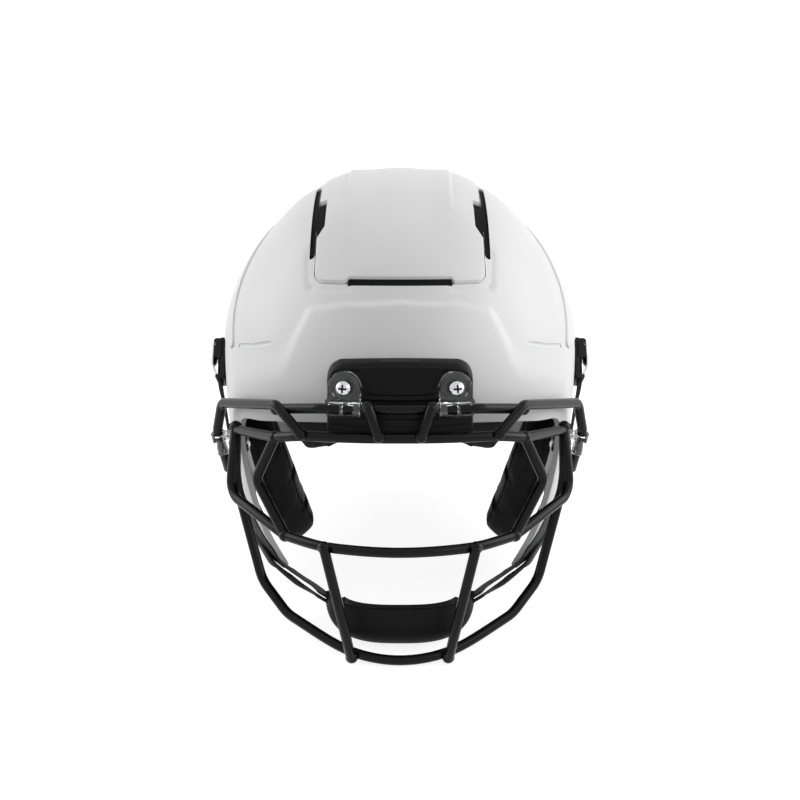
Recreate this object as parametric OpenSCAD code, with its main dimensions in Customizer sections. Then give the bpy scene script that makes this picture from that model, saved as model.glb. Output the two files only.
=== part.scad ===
// Football helmet with a welded face guard, worn upright.
// +Z is up, the face looks along -Y, and the two sides mirror each other across X = 0.
// Shapes are laid out from the centre of the dome, then set down on the chin bar.

/* [Dome] */
// Width of the bare shell across the ears
shell_w = 239; // [234:1:244]
// Reach of the dome forward of its centre
dome_front = 143; // [140:1:147]
// Reach of the dome back from its centre
dome_rear = 140; // [136:1:145]
// Rise of the dome above its centre
dome_top = 119; // [117:1:122]
// Depth at which the lower shell would close: more keeps the jaw flaps wider
dome_drop = 190; // [186:1:198]
// Wall of the shell
shell_wall = 4; // [3:0.1:5]

/* [Floating plates] */
// Thickness of the crown and side plates
plate_t = 3; // [2:0.1:3.5]
// How far the plates stand proud of the dome
plate_proud = 1.2; // [0.5:0.1:2]
// Free depth under a plate at rest
plate_free = 3.2; // [2.6:0.1:4]
// Gap round the edge of a plate
plate_gap = 1.2; // [0.8:0.1:2]
// Half width of the crown plate at its widest
crown_half_w = 54.5; // [50:0.5:56]
// Radius in plan of the crown plate's front edge about the dome's axis
crown_front_r = 98; // [94:0.5:100]
// Where the crown plate ends at the back
crown_rear_y = 88; // [75:1:92]
// Radius of the stems that guide the plates
stem_r = 3; // [2.5:0.1:3.5]
// Radial running clearance of a stem in its hole
stem_play = 0.1; // [0.06:0.01:0.12]

/* [Vents and bands] */
// Width of the long vents beside the crown plate
vent_w = 3.6; // [3:0.1:4]
// Height of the slot in front of the crown plate
front_slot_w = 3.2; // [2.5:0.1:3.8]
// How far the forehead band stands proud
band_proud = 1.5; // [0.8:0.1:2.5]
// Radius in plan of the band's top edge about the dome's axis
band_r = 109; // [107:0.5:112]

/* [Face guard] */
// Radius of the face guard's wire
wire_r = 3.3; // [3:0.1:3.5]
// Reach of the mouth bar forward of the dome's centre
mouth_reach = 190; // [184:1:200]
// Depth of the mouth bar below the dome's centre
mouth_drop = 57; // [54:1:60]
// Depth of the chin bar below the dome's centre
chin_drop = 143; // [140:1:146]
// Reach of the chin bar forward of the dome's centre
chin_reach = 177; // [174:1:182]

/* [Nose bumper and clips] */
// Width of the nose bumper
bumper_w = 91; // [86:1:96]
// Top of the nose bumper above the dome's centre
bumper_top = 51; // [48:0.5:54]
// Distance of each front clip from the middle
clip_x = 34; // [31:0.5:36]
// Radius of a front clip's round top
clip_r = 10.5; // [9:0.1:11.5]
// Height of the front clips' screws above the dome's centre
clip_z = 34; // [33:0.5:37]
// Radius of the quarter-turn screws' shanks
screw_r = 2.5; // [2:0.1:3]
// Radius of the screws' heads
head_r = 4.8; // [4:0.1:5.5]

/* [Chin strap] */
// Width of the webbing
strap_w = 20; // [16:0.5:22]
// Thickness of the webbing
strap_t = 1.6; // [1.2:0.1:2]
// Radius of the snap studs' caps
stud_r = 4.5; // [4:0.1:5]
// Half width of the chin cup
cup_half_w = 46; // [43:0.5:48]
// Wall of the chin cup
cup_wall = 2.6; // [2:0.1:3.5]

/* [Liner] */
// Thickness of the cushions round the head
pad_t = 24; // [18:1:28]
// Thickness of the jaw pads
jaw_pad_t = 29; // [26:1:34]

/* [Air valves] */
// Radius of the hole that takes the pump's needle
needle_r = 1.25; // [1:0.05:1.5]

/* [Hidden] */

half_w = shell_w / 2;
// Lowest point of the face guard below the dome's centre
stand_z = chin_drop + wire_r;
// Middle of the object's length
mid_y = (dome_rear - mouth_reach - wire_r) / 2;
pocket_floor = plate_proud - plate_t - plate_free;
pocket_back = pocket_floor - shell_wall;

// Rim of the shell from the middle of the brow round to the nape, left half
rim_half = [
    [0, -143, 9], [34, -137, 8], [62, -121, 2], [86, -97, -8], [101, -76, -17],
    [104, -71, -34], [99, -76, -62], [90, -82, -88], [80, -86, -110], [74, -79, -118],
    [90, -50, -107], [98, -20, -100], [101, 20, -96], [92, 75, -102], [56, 112, -110],
    [0, 127, -113],
];
rim_steps = 2;
shell_rows = 18;
hole_sides = 16;
slot_sides = 12;
// Direction from which the rows of the shell fan out
shell_pole = [0, 0.40, 0.91];

// Half width of the crown plate along its length, as a share of its widest
crown_profile = [[88, 0.80], [50, 0.90], [16, 0.955], [-85, 1]];
notched_profile = [[88, 0.80], [50, 0.90], [16, 0.955], [-14, 0.965], [-15.5, 0.875],
                   [-46, 0.895], [-53, 0.985], [-85, 1]];
crown_rows = [60, 36, 16, -14, -15.5, -30, -46, -53, -68];
pocket_rows = [62, 36, 10, -16, -41, -66];
crown_columns = [-1, -0.92, -0.76, -0.66, -0.36, 0, 0.36, 0.66, 0.76, 0.92, 1];
crown_ridge = 1.5;
stem_x = 30;
stem_y = 49.4;
stem_sink = 1;
stop_t = 0.7;
front_slot_half = 33;
// Shallow groove that runs forward from each side plate, seen from the side
groove = [[-58, 24], [-75, 31], [-90, 39]];
groove_r = 1.3;

// Side plate seen from the side, front to rear: its bottom edge and its top edge
side_bottom = [[-55, 21], [-20, 17], [20, 14], [64, 12]];
side_top = [[4, 66], [22, 74], [40, 77], [56, 74]];
side_mid = [12, 44];
side_half = [58, 32];
side_stems = [[-6, 34], [34, 52]];

// Front face of the nose bumper: how far it reaches, how round and how steep it is
bumper_reach = 147;
bumper_face_r = 160;
bumper_face_tilt = 18;
bumper_face_z = 30;
bumper_corner = 9;
// Height of each step of its face and how far the step stands forward
bumper_steps = [[8, 0.4], [11, 0.4], [12, -0.8], [16, -0.8], [17, 0], [21, 0], [22, -0.8], [27, -0.8],
                [28, 0], [31, 0], [32, 0], [47, 0], [49, -0.4], [51, -2]];
bumper_steps_top = 51;
// Rear bumper
rear_bumper_t = 4.5;
rear_screw = [24, 125, -90];
rear_screw_r = 1.7;

// Weld points of the face guard, left half
brow_weld = [78, -128, 13.5];
strut_weld = [62, -148, 4];
eye_weld = [79, -131, -5];
temple_weld = [108, -78, -24];
cheek_weld = [73, 38 - mouth_reach, -mouth_drop - 7];
brow_bar_in = [0, -154, 24.5];
brow_bar_out = [50, -148.5, 22.8];
arm_top = [122.5, -54, -36];
arm_end = [116.5, -44, -70];
wire_sides = 8;
bend_steps = 3;

// Directions of the snap studs from the dome's centre, left half
upper_stud = [119, 6, -11];
lower_stud = [103, 22, -78];
// Way the webbing runs from each stud, seen along the shell
upper_run = [-25, -62, -78];
lower_run = [-20, -90, -62];
buckle_l = 29;
buckle_w = 25;
buckle_gap = 0.3;
buckle_base = 3;
buckle_wall = 1.8;
lever_pin_r = 1.3;
lever_pin_x = -9.5;
lever_pin_z = 7.3;
lever_eye_r = 2;
lever_l = 22;
pin_play = 0.06;

clip_gap = 0.3;
clip_t = 6;
nut_r = 7;
nut_t = 1.6;
clip_foot = 18;
side_clip_seat = [110, -64, -42];
side_clip_r = 8;
clip_sides = 24;
clip_tail = 3.4;
clip_wall = 2.4;
side_clip_wall = 1.5;

cup_mid = [0, -124, -113];
cup_forward = 36;
cup_depth = 28.5;
cup_ear_x = 43.5;

valve_seat = [22, 110, 76];
valve_r = 4.5;
valve_l = 9;

function unit(v) = v / norm(v);
function flip(p) = [for (i = [0 : len(p) - 1]) i == 0 ? -p[i] : p[i]];
// A list that starts on the mirror plane, carried on through it to the other side
function both_sides(half) = concat([for (i = [len(half) - 1 : -1 : 1]) flip(half[i])], half);
function sum_of(v) = v * [for (x = v) 1];
function mix(a, b, t) = a * (1 - t) + b * t;
function slerp(a, b, t) =
    let (w = acos(a * b))
    (sin((1 - t) * w) * a + sin(t * w) * b) / sin(w);
// Point at share t along a short list of points
function along_list(list, t) =
    let (x = t * (len(list) - 1), i = min(floor(x), len(list) - 2))
    mix(list[i], list[i + 1], x - i);
function knot(pts, i) = pts[(i + len(pts)) % len(pts)];
function curve(a, b, c, d, t) =
    (2 * b + (c - a) * t + (2 * a - 5 * b + 4 * c - d) * t * t + (3 * b - a - 3 * c + d) * t * t * t) / 2;
function smooth_ring(pts, steps) =
    [for (i = [0 : len(pts) - 1], k = [0 : steps - 1])
        curve(knot(pts, i - 1), pts[i], knot(pts, i + 1), knot(pts, i + 2), k / steps)];

// Squareness of the dome in direction d: 2 on top, more towards the jaw
function squareness(d) = 2 + 0.35 * min(1, max(0, -1.6 * d[2]));
function dome_r(d) =
    let (n = squareness(d))
    pow(pow(abs(d[0]) / half_w, n)
        + pow(abs(d[1]) / (d[1] < 0 ? dome_front : dome_rear), n)
        + pow(abs(d[2]) / (d[2] > 0 ? dome_top : dome_drop), n), -1 / n);
// Point on the dome in direction v, raised by off
function on_dome(v, off = 0) = let (d = unit(v)) d * (dome_r(d) + off);
// Outward normal of the dome in direction v
function dome_normal(v) =
    let (d = unit(v), a = unit(cross([0, 0, 1], d)), b = cross(d, a), e = 0.01, p = on_dome(d))
    unit(cross(on_dome(d + a * e) - p, on_dome(d + b * e) - p));

// The same dome met from above, from the side and from the front, above its centre
function reach_y(y) = y < 0 ? dome_front : dome_rear;
function gradient(x, y, z) = unit([x / pow(half_w, 2), y / pow(reach_y(y), 2), z / pow(dome_top, 2)]);
function over(x, y, off) =
    let (z = dome_top * sqrt(1 - pow(x / half_w, 2) - pow(y / reach_y(y), 2)))
    [x, y, z + off / gradient(x, y, z)[2]];
function beside(y, z, off) =
    let (x = half_w * sqrt(1 - pow(y / reach_y(y), 2) - pow(z / dome_top, 2)))
    [x + off / gradient(x, y, z)[0], y, z];
function before(x, z, off) =
    let (y = -dome_front * sqrt(1 - pow(x / half_w, 2) - pow(z / dome_top, 2)))
    [x, y + off / gradient(x, y, z)[1], z];

// Closed skin over a row of rings. Each end closes to its tip, or straight across
// where it has none: then the second half of a ring runs back along the first.
module skin(rings, tips = []) {
    n = len(rings[0]);
    k = len(rings);
    points = concat([for (r = rings) each r], tips);
    function at(i, j) = i * n + j % n;
    function across(i) = [for (j = [0 : n / 2 - 2]) each
        [[at(i, n - 1 - j), at(i, j), at(i, j + 1)], [at(i, n - 1 - j), at(i, j + 1), at(i, n - 2 - j)]]];
    function end(i, tip) = len(tips) == 0 ? across(i)
        : [for (j = [0 : n - 1]) [k * n + tip, at(i, j), at(i, j + 1)]];
    faces = concat(
        end(0, 0),
        [for (i = [0 : k - 2], j = [0 : n - 1]) [at(i, j), at(i + 1, j), at(i + 1, j + 1)]],
        [for (i = [0 : k - 2], j = [0 : n - 1]) [at(i, j), at(i + 1, j + 1), at(i, j + 1)]],
        [for (f = end(k - 1, 1)) reversed(f)]
    );
    // Positive when the faces look inward, so they are turned about
    inward = sum_of([for (f = faces) cross(points[f[0]], points[f[1]]) * points[f[2]]]) > 0;
    polyhedron(points, inward ? [for (f = faces) reversed(f)] : faces);
}
// Slab between two surfaces: each row is a list of [top point, bottom point]
module slab(rows) skin([for (r = rows) concat([for (p = r) p[0]], reversed([for (p = r) p[1]]))]);
function reversed(list) = [for (i = [len(list) - 1 : -1 : 0]) list[i]];

module set_down() translate([0, -mid_y, stand_z]) children();
// Left pieces are drawn as they are, right pieces mirrored
module on_side(left) mirror([left ? 0 : 1, 0, 0]) children();
module both() {
    children();
    mirror([1, 0, 0]) children();
}
// Axes at point p with z along n and x level
module face_frame(p, n) {
    x = unit(cross([0, 0, 1], n));
    y = cross(n, x);
    multmatrix([[x[0], y[0], n[0], p[0]], [x[1], y[1], n[1], p[1]], [x[2], y[2], n[2], p[2]]]) children();
}
// Axes at point p with z along n and x as near to run as the face allows
module run_frame(p, n, run) {
    x = unit(run - n * (run * n));
    y = cross(n, x);
    multmatrix([[x[0], y[0], n[0], p[0]], [x[1], y[1], n[1], p[1]], [x[2], y[2], n[2], p[2]]]) children();
}
// Round bar from a to b
module bar(a, b, r, sides = 48) {
    z = unit(b - a);
    x = unit(cross(abs(z[2]) < 0.9 ? [0, 0, 1] : [1, 0, 0], z));
    y = cross(z, x);
    multmatrix([[x[0], y[0], z[0], a[0]], [x[1], y[1], z[1], a[1]], [x[2], y[2], z[2], a[2]]])
        cylinder(h = norm(b - a), r = r, $fn = sides);
}
module slot(a, b, r) hull() {
    bar(a[0], a[1], r, slot_sides);
    bar(b[0], b[1], r, slot_sides);
}

// Shell

module dome_skin(lo, hi) {
    rim = smooth_ring(concat(rim_half, [for (i = [len(rim_half) - 2 : -1 : 1]) flip(rim_half[i])]), rim_steps);
    pole = unit(shell_pole);
    function ring(j, off) = [for (p = rim) on_dome(slerp(pole, unit(p), j / shell_rows), off)];
    outer = [for (j = [1 : shell_rows]) ring(j, hi)];
    inner = [for (j = [shell_rows : -1 : 1]) ring(j, lo)];
    skin(concat(outer, inner), [on_dome(pole, hi), on_dome(pole, lo)]);
}

function front_arc(x, grow) = -sqrt(pow(crown_front_r + grow, 2) - x * x);
function ridge(x, y) =
    crown_ridge * min(1, max(0, (0.76 - abs(x) / crown_half_w) / 0.1)) * min(1, max(0, (y + 40) / 34));
// Crown plate, or its pocket when it grows
module crown_slab(lo, hi, profile, rows, grow = 0, ridged = 0) {
    ys = concat([crown_rear_y + grow], rows);
    last = rows[len(rows) - 1];
    function half(y) = crown_half_w * lookup(y, profile) + grow;
    function column(x, y) = [over(x, y, hi + ridged * ridge(x, y)), over(x, y, lo)];
    slab(concat(
        [for (y = ys) [for (u = crown_columns) column(u * half(y), y)]],
        [for (s = [0.5, 1]) [for (u = crown_columns)
            let (x = u * half(last - 10)) column(x, mix(last, front_arc(x, grow), s))]]
    ));
}
// Side plate, or its pocket when it grows
module side_slab(lo, hi, grow = 0) {
    function spread(p) = [for (k = [0, 1])
        side_mid[k] + (p[k] - side_mid[k]) * (1 + grow / side_half[k])];
    steps = 8;
    rise = 5;
    slab([for (i = [0 : steps]) [for (j = [0 : rise])
        let (p = spread(mix(along_list(side_bottom, i / steps), along_list(side_top, i / steps), j / rise)))
        [beside(p[0], p[1], hi), beside(p[0], p[1], lo)]]]);
}
// Raised band across the forehead, narrowing round to the temples
module forehead_band() {
    columns = both_sides([for (x = [0, 20, 40, 56.5, 64, 73, 84, 96, 107])
        [x, lookup(x, [[0, 10], [34, 9], [62, 3], [86, -4], [107, -4]])]]);
    function arc_z(x) = over(x, -sqrt(band_r * band_r - x * x), 0)[2];
    function top_z(x) = x < 57 ? arc_z(x) : lookup(x, [[57, arc_z(57)], [73, 38], [84, 28], [109, 12]]);
    rise = 6;
    slab([for (c = columns) [for (j = [0 : rise])
        let (z = mix(c[1], top_z(abs(c[0])), j / rise))
        [before(c[0], z, -1), before(c[0], z, band_proud)]]]);
}

module shell_cuts() {
    // Long vents beside the crown plate, wider where the plate is notched
    for (s = [-1, 1]) {
        slot([[56.4 * s, -63, 60], [56.4 * s, -63, 125]], [[54.4 * s, 14, 60], [54.4 * s, 14, 125]], vent_w / 2);
        slot([[52.4 * s, -44, 60], [52.4 * s, -44, 125]], [[51.5 * s, -18, 60], [51.5 * s, -18, 125]], 3);
        // Ear holes
        slot([[90 * s, 6, -46], [130 * s, 6, -46]], [[90 * s, 16, -40], [130 * s, 16, -40]], 7);
        // Nape vents
        slot([[26 * s, 100, -28], [26 * s, 150, -28]], [[46 * s, 90, -22], [46 * s, 150, -22]], 4);
        // Groove that carries the side plate's lower edge forward
        for (i = [0, 1])
            slot([for (off = [0.6, -0.6]) beside(groove[i][0], groove[i][1], off)],
                 [for (off = [0.6, -0.6]) beside(groove[i + 1][0], groove[i + 1][1], off)], groove_r);
    }
    // Slot in the pocket in front of the crown plate
    slab([for (grow = [0.4, 0.4 + front_slot_w]) [for (x = [-1, -0.65, 0, 0.65, 1] * front_slot_half)
        [[x, front_arc(x, grow), 100], [x, front_arc(x, grow), 50]]]]);
    fastener_holes();
}
module drill(d, r) bar(on_dome(d) + 12 * dome_normal(d), on_dome(d) - 12 * dome_normal(d), r, hole_sides);
module fastener_holes() {
    both() {
        bar(clip_point(0) + 10 * bumper_normal(), clip_point(0) - 30 * bumper_normal(), screw_r + 0.4, hole_sides);
        bar(side_clip_at(12), side_clip_at(-12), screw_r + 0.4, hole_sides);
        for (d = [upper_stud, lower_stud]) drill(d, 2.3);
        for (y = [-stem_y, stem_y]) bar([stem_x, y, 80], [stem_x, y, 125], stem_r + stem_play, hole_sides);
        for (p = side_stems) bar([80, p[0], p[1]], [125, p[0], p[1]], stem_r + stem_play, hole_sides);
        drill(valve_seat, valve_r + 0.2);
        drill(rear_screw, rear_screw_r + 0.3);
    }
}

module shell() set_down() color([0.95, 0.95, 0.96]) difference() {
    union() {
        dome_skin(-shell_wall, 0);
        crown_slab(pocket_back, -0.5, crown_profile, pocket_rows, plate_gap + shell_wall);
        both() side_slab(pocket_back, -0.5, plate_gap + shell_wall);
        forehead_band();
    }
    crown_slab(pocket_floor, 20, crown_profile, pocket_rows, plate_gap);
    both() side_slab(pocket_floor, 20, plate_gap);
    shell_cuts();
}

module crown_plate() set_down() color([0.96, 0.96, 0.97]) {
    crown_slab(plate_proud - plate_t, plate_proud, notched_profile, crown_rows, 0, 1);
    both() for (y = [-stem_y, stem_y])
        bar(over(stem_x, y, pocket_back - stem_sink), over(stem_x, y, plate_proud - 1), stem_r);
}
module side_plate(left) set_down() on_side(left) color([0.96, 0.96, 0.97]) {
    side_slab(plate_proud - plate_t, plate_proud);
    for (p = side_stems)
        bar(beside(p[0], p[1], pocket_back - stem_sink), beside(p[0], p[1], plate_proud - 1), stem_r);
}
module side_plate_left() side_plate(true);
module side_plate_right() side_plate(false);

// Rubber ring round a stem that stops the plate
module stop_ring(foot, n) difference() {
    bar(foot, foot + n * stop_t, stem_r + 4.5);
    bar(foot - n * 3, foot + n * 4, stem_r + 1.4);
}

module crown_stops() set_down() color("dimgray") both() for (y = [-stem_y, stem_y])
    stop_ring(over(stem_x, y, pocket_floor + 0.05), gradient(stem_x, y, over(stem_x, y, 0)[2]));
module side_stops() set_down() color("dimgray") both() for (p = side_stems)
    stop_ring(beside(p[0], p[1], pocket_floor + 0.05), gradient(beside(p[0], p[1], 0)[0], p[0], p[1]));

// Bumpers

function bumper_y(x, z) = x * x / (2 * bumper_face_r) + (z - bumper_face_z) * tan(bumper_face_tilt) - bumper_reach;
function bumper_normal() = unit([clip_x / bumper_face_r, -1, tan(bumper_face_tilt)]);
// Depth at which a line going in from p against n has passed the wall
function wall_depth(p, n) =
    let (e = [half_w - shell_wall, dome_front - shell_wall, dome_top - shell_wall],
         q = [p[0] / e[0], p[1] / e[1], p[2] / e[2]], m = [n[0] / e[0], n[1] / e[1], n[2] / e[2]])
    (q * m - sqrt(pow(q * m, 2) - (m * m) * (q * q - 1))) / (m * m);
function clip_point(h) = [clip_x, bumper_y(clip_x, clip_z), clip_z] + h * bumper_normal();
// Raised bare face of the nose bumper
module bumper_badge_face() {
    low = 30;
    high = bumper_top - 2;
    slab([for (u = [-1, -0.5, 0, 0.5, 1]) [for (s = [0, 0.5, 1])
        let (z = mix(low, high, s), x = u * mix(16, 25, s))
        [[x, bumper_y(x, z) - 1.8, z], [x, bumper_y(x, z) + 1, z]]]]);
}
// Rounded top corners take up the height above the steps
function bumper_level(h, drop) = h < 32 ? h : mix(32, bumper_top - drop, (h - 32) / (bumper_steps_top - 32));
module nose_bumper() set_down() color([0.08, 0.08, 0.09]) {
    columns = both_sides([[0, 0], [15, 0], [30, 0], [bumper_w / 2 - bumper_corner, 0], [bumper_w / 2 - 5, 1.4],
                          [bumper_w / 2 - 2, 3.8], [bumper_w / 2, bumper_corner]]);
    difference() {
        union() {
            slab([for (c = columns) [for (step = bumper_steps)
                let (z = bumper_level(step[0], c[1]), x = c[0])
                [[x, bumper_y(x, z) - step[1], z], before(x, z, band_proud + 0.5)]]]);
            bumper_badge_face();
        }
        both() bar(clip_point(14), clip_point(-30), screw_r + 0.4);
    }
}
module rear_bumper() set_down() color([0.08, 0.08, 0.09]) difference() {
    slab([for (x = [-36, -33, -22, -11, 0, 11, 22, 33, 36]) [for (z = [-112, -108, -98, -88, -78, -74])
        let (ends = (abs(x) == 36 || z == -112 || z == -74) ? 2.5 : rear_bumper_t)
        [on_dome([x, 125, z], 0.6), on_dome([x, 125, z], 0.6 + ends)]]]);
    both() drill(rear_screw, rear_screw_r + 0.3);
}
module rear_bumper_screws() set_down() color("silver") both()
    screw(on_dome(rear_screw) + (rear_bumper_t + 0.8) * dome_normal(rear_screw), dome_normal(rear_screw),
          rear_screw_r, 3.6, rear_bumper_t + shell_wall + 2.5);

// Face guard

function xyz(p) = [p[0], p[1], p[2]];
// Arc that rounds corner b of a route from a to c
function corner(a, b, c, r) =
    let (u = unit(b - a), v = unit(c - b), turn = acos(min(1, u * v)))
    turn < 2 || r == 0 ? [b] :
    let (out = unit(v - u * (u * v)), start = b - u * r * tan(turn / 2))
    [for (k = [0 : bend_steps]) let (w = turn * k / bend_steps)
        start + out * r * (1 - cos(w)) + u * r * sin(w)];
// Route through points that carry their bend radius as a fourth number
function route(pts) =
    let (last = len(pts) - 1)
    [for (i = [0 : last]) each
        i == 0 || i == last ? [xyz(pts[i])]
            : corner(xyz(pts[i - 1]), xyz(pts[i]), xyz(pts[i + 1]), len(pts[i]) > 3 ? pts[i][3] : 0)];
function tangents(p) =
    let (last = len(p) - 1)
    [for (i = [0 : last]) unit(p[min(i + 1, last)] - p[max(i - 1, 0)])];
function carried(u, t) = unit(u - t * (u * t));
// Sideways direction at each point, carried along the route without twisting
function sideways(t) =
    [for (i = 0, u = carried([0.31, 0.23, 0.92], t[0]); i < len(t);
          i = i + 1, u = i < len(t) ? carried(u, t[i]) : u) u];
module wire(pts) color([0.07, 0.07, 0.08]) {
    p = route(pts);
    t = tangents(p);
    u = sideways(t);
    rings = [for (i = [0 : len(p) - 1]) [for (k = [0 : wire_sides - 1])
        let (a = 360 * (k + 0.5) / wire_sides)
        p[i] + wire_r * (cos(a) * u[i] + sin(a) * cross(t[i], u[i]))]];
    skin(rings, [p[0], p[len(p) - 1]]);
}
module mask_upper_brow_bar() set_down()
    wire(both_sides([brow_bar_in, concat(brow_bar_out, 12), brow_weld]));
module mask_lower_brow_bar() set_down()
    wire(both_sides([[0, -160, 7.5], [31, -157, 6.5, 60], concat(strut_weld, 40), concat(eye_weld, 40),
                     temple_weld]));
module mask_brow_struts() set_down() both() wire([[20, -157.5, 29], [13.3, -163.5, 10]]);
module mask_side_loop(left) set_down() on_side(left)
    wire([strut_weld + [0, -3.5, 3], concat(brow_weld + [0, -3, 4], 6), [118, -62, -12, 9],
          concat(arm_top, 20), arm_end]);
module mask_side_loop_left() mask_side_loop(true);
module mask_side_loop_right() mask_side_loop(false);
module mask_sweep(left) set_down() on_side(left)
    wire([temple_weld + [0, 0, 4], [112, -92, -64, 14], cheek_weld]);
module mask_sweep_left() mask_sweep(true);
module mask_sweep_right() mask_sweep(false);
module mask_mouth_bar() set_down()
    wire(both_sides([[0, -mouth_reach, -mouth_drop], [27, 5 - mouth_reach, -mouth_drop - 1, 90],
                     [50, 17 - mouth_reach, -mouth_drop - 4, 40], concat(cheek_weld, 8),
                     [92, -130, -35, 7], eye_weld]));
module mask_chin_bar() set_down()
    wire(both_sides([[0, -chin_reach, -chin_drop], [32, 9 - chin_reach, 1 - chin_drop, 50],
                     [74, -130, 10 - chin_drop, 26], [91, -112, -118, 26], [109, -81, -60, 40],
                     [108, -79, -27]]));
module mask_chin_struts() set_down() both()
    wire([[48, 9.5 - mouth_reach, 4 - mouth_drop], [31, 5.2 - chin_reach, -chin_drop - 0.5]]);

// Clips and screws of the face guard

// Screw with its head's underside at p, shank pointing against n
module screw(p, n, shank_r, cap_r, length) {
    cap_h = cap_r * 0.5;
    dome = (cap_r * cap_r + cap_h * cap_h) / (2 * cap_h);
    face_frame(p, n) difference() {
        union() {
            translate([0, 0, -length]) cylinder(h = length + 0.5, r = shank_r, $fn = 48);
            intersection() {
                translate([0, 0, cap_h - dome]) sphere(r = dome, $fn = 96);
                cylinder(h = cap_h, r = cap_r, $fn = 64);
            }
        }
        for (a = [0, 90]) rotate(a)
            translate([-cap_r * 0.55, -cap_r * 0.13, cap_h * 0.45]) cube([cap_r * 1.1, cap_r * 0.26, cap_h]);
    }
}
module front_clip(left) set_down() on_side(left) color([0.8, 0.85, 0.88]) {
    loop_r = wire_r + 0.15;
    loop = mix(brow_bar_in, brow_bar_out, clip_x / brow_bar_out[0]);
    way = unit(brow_bar_out - brow_bar_in);
    difference() {
        intersection() {
            union() {
                face_frame(clip_point(clip_gap), bumper_normal()) {
                    cylinder(h = clip_t, r = clip_r, $fn = 64);
                    translate([0.4 - clip_r, -clip_foot, 0]) cube([2 * clip_r - 0.8, clip_foot, clip_t]);
                }
                bar(loop - way * (clip_r - 1), loop + way * (clip_r - 1), loop_r + clip_wall);
            }
            // Flat back against the bumper
            face_frame(clip_point(clip_gap), bumper_normal()) translate([-30, -60, 0]) cube([60, 90, 30]);
        }
        bar(loop - way * 30, loop + way * 30, loop_r);
        bar(clip_point(-2), clip_point(20), screw_r + pin_play);
    }
}
module front_clip_left() front_clip(true);
module front_clip_right() front_clip(false);
module front_screw(left) set_down() on_side(left) color("silver")
    screw(clip_point(clip_gap + clip_t + 0.15), bumper_normal(), screw_r, head_r,
          clip_gap + clip_t + front_nut_depth + nut_t - 0.2);
module front_screw_left() front_screw(true);
module front_screw_right() front_screw(false);

function side_clip_at(h) = on_dome(side_clip_seat) + h * dome_normal(side_clip_seat);
module side_clip(left) set_down() on_side(left) color([0.8, 0.85, 0.88]) {
    loop_r = wire_r + 0.15;
    way = unit(arm_end - arm_top);
    loop = arm_top + way * 10.5;
    n = dome_normal(side_clip_seat);
    seat = side_clip_at(clip_gap);
    rise = n * (loop - seat);
    foot = loop - n * rise;
    barrel_r = loop_r + side_clip_wall;
    difference() {
        union() {
            bar(seat, seat + n * 4, side_clip_r, clip_sides);
            // Tongue from the screw to the wire, and the barrel that grips the wire
            run_frame(seat, n, foot - seat) translate([-clip_tail, 1.2 - side_clip_r, 0.2])
                cube([clip_tail + norm(foot - seat) + barrel_r - 0.4, 2 * side_clip_r - 2.4, 3.3]);
            run_frame(foot, n, way) translate([2 - side_clip_r, -1.1 - barrel_r, 1])
                cube([2 * side_clip_r - 4, 2 * barrel_r + 0.2, rise - 2]);
            bar(loop - way * side_clip_r, loop + way * side_clip_r, barrel_r, clip_sides);
        }
        bar(loop - way * 40, loop + way * 40, loop_r, clip_sides);
        bar(side_clip_at(-2), side_clip_at(20), screw_r + pin_play, clip_sides);
    }
}
module side_clip_left() side_clip(true);
module side_clip_right() side_clip(false);
module side_screw(left) set_down() on_side(left) color("silver")
    screw(side_clip_at(clip_gap + 4.15), dome_normal(side_clip_seat), screw_r, head_r,
          clip_gap + 4 + shell_wall + nut_t + 0.8);
module side_screw_left() side_screw(true);
module side_screw_right() side_screw(false);

// Flat nut inside the shell
module nut(p, n) face_frame(p, n) translate([0, 0, -nut_t]) difference() {
    cylinder(h = nut_t, r = nut_r, $fn = 64);
    translate([0, 0, -1]) cylinder(h = nut_t + 2, r = screw_r + pin_play, $fn = 64);
}
front_nut_depth = wall_depth(clip_point(0), bumper_normal()) + 1.7;
module nuts() set_down() color("silver") both() {
    nut(clip_point(-front_nut_depth), bumper_normal());
    nut(side_clip_at(-shell_wall - 0.8), dome_normal(side_clip_seat));
}

// Liner

// Depth and half width of a cushion at shares of its way out from the middle
pad_depth = [[0, 1], [0.35, 0.99], [0.7, 0.94], [0.93, 0.8], [1, 0.56]];
pad_outline = [[0, 0.96], [0.6, 0.98], [0.85, 0.97], [0.95, 0.9], [1, 0.74]];
pad_columns = [-1, -0.93, -0.7, -0.35, 0, 0.35, 0.7, 0.93, 1];
pad_rows = [-1, -0.95, -0.85, -0.6, -0.3, 0, 0.3, 0.6, 0.85, 0.95, 1];
channel_w = 0.09;
function sorted(v) = len(v) < 2 ? v :
    let (p = v[floor(len(v) / 2)])
    concat(sorted([for (x = v) if (x < p) x]), [p], sorted([for (x = v) if (x > p) x]));
// Cushion on the inner wall, centred at mid in the two directions that face() takes,
// with sewn channels across it
module cushion(mid, half, back, t, channels = []) {
    rows = sorted(concat(pad_rows, [for (c = channels, e = [-1, 0, 1]) c + e * channel_w]));
    function dip(v) = max([0, for (c = channels) 1 - abs(v - c) / channel_w]);
    slab([for (v = rows) [for (u = pad_columns)
        let (d = $face(mid[0] + half[0] * u * lookup(abs(v), pad_outline), mid[1] + half[1] * v),
             deep = t * lookup(abs(u), pad_depth) * lookup(abs(v), pad_depth) - 4 * dip(v))
        [on_dome(d) - back * dome_normal(d), on_dome(d) - (back + deep) * dome_normal(d)]]]);
}
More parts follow.
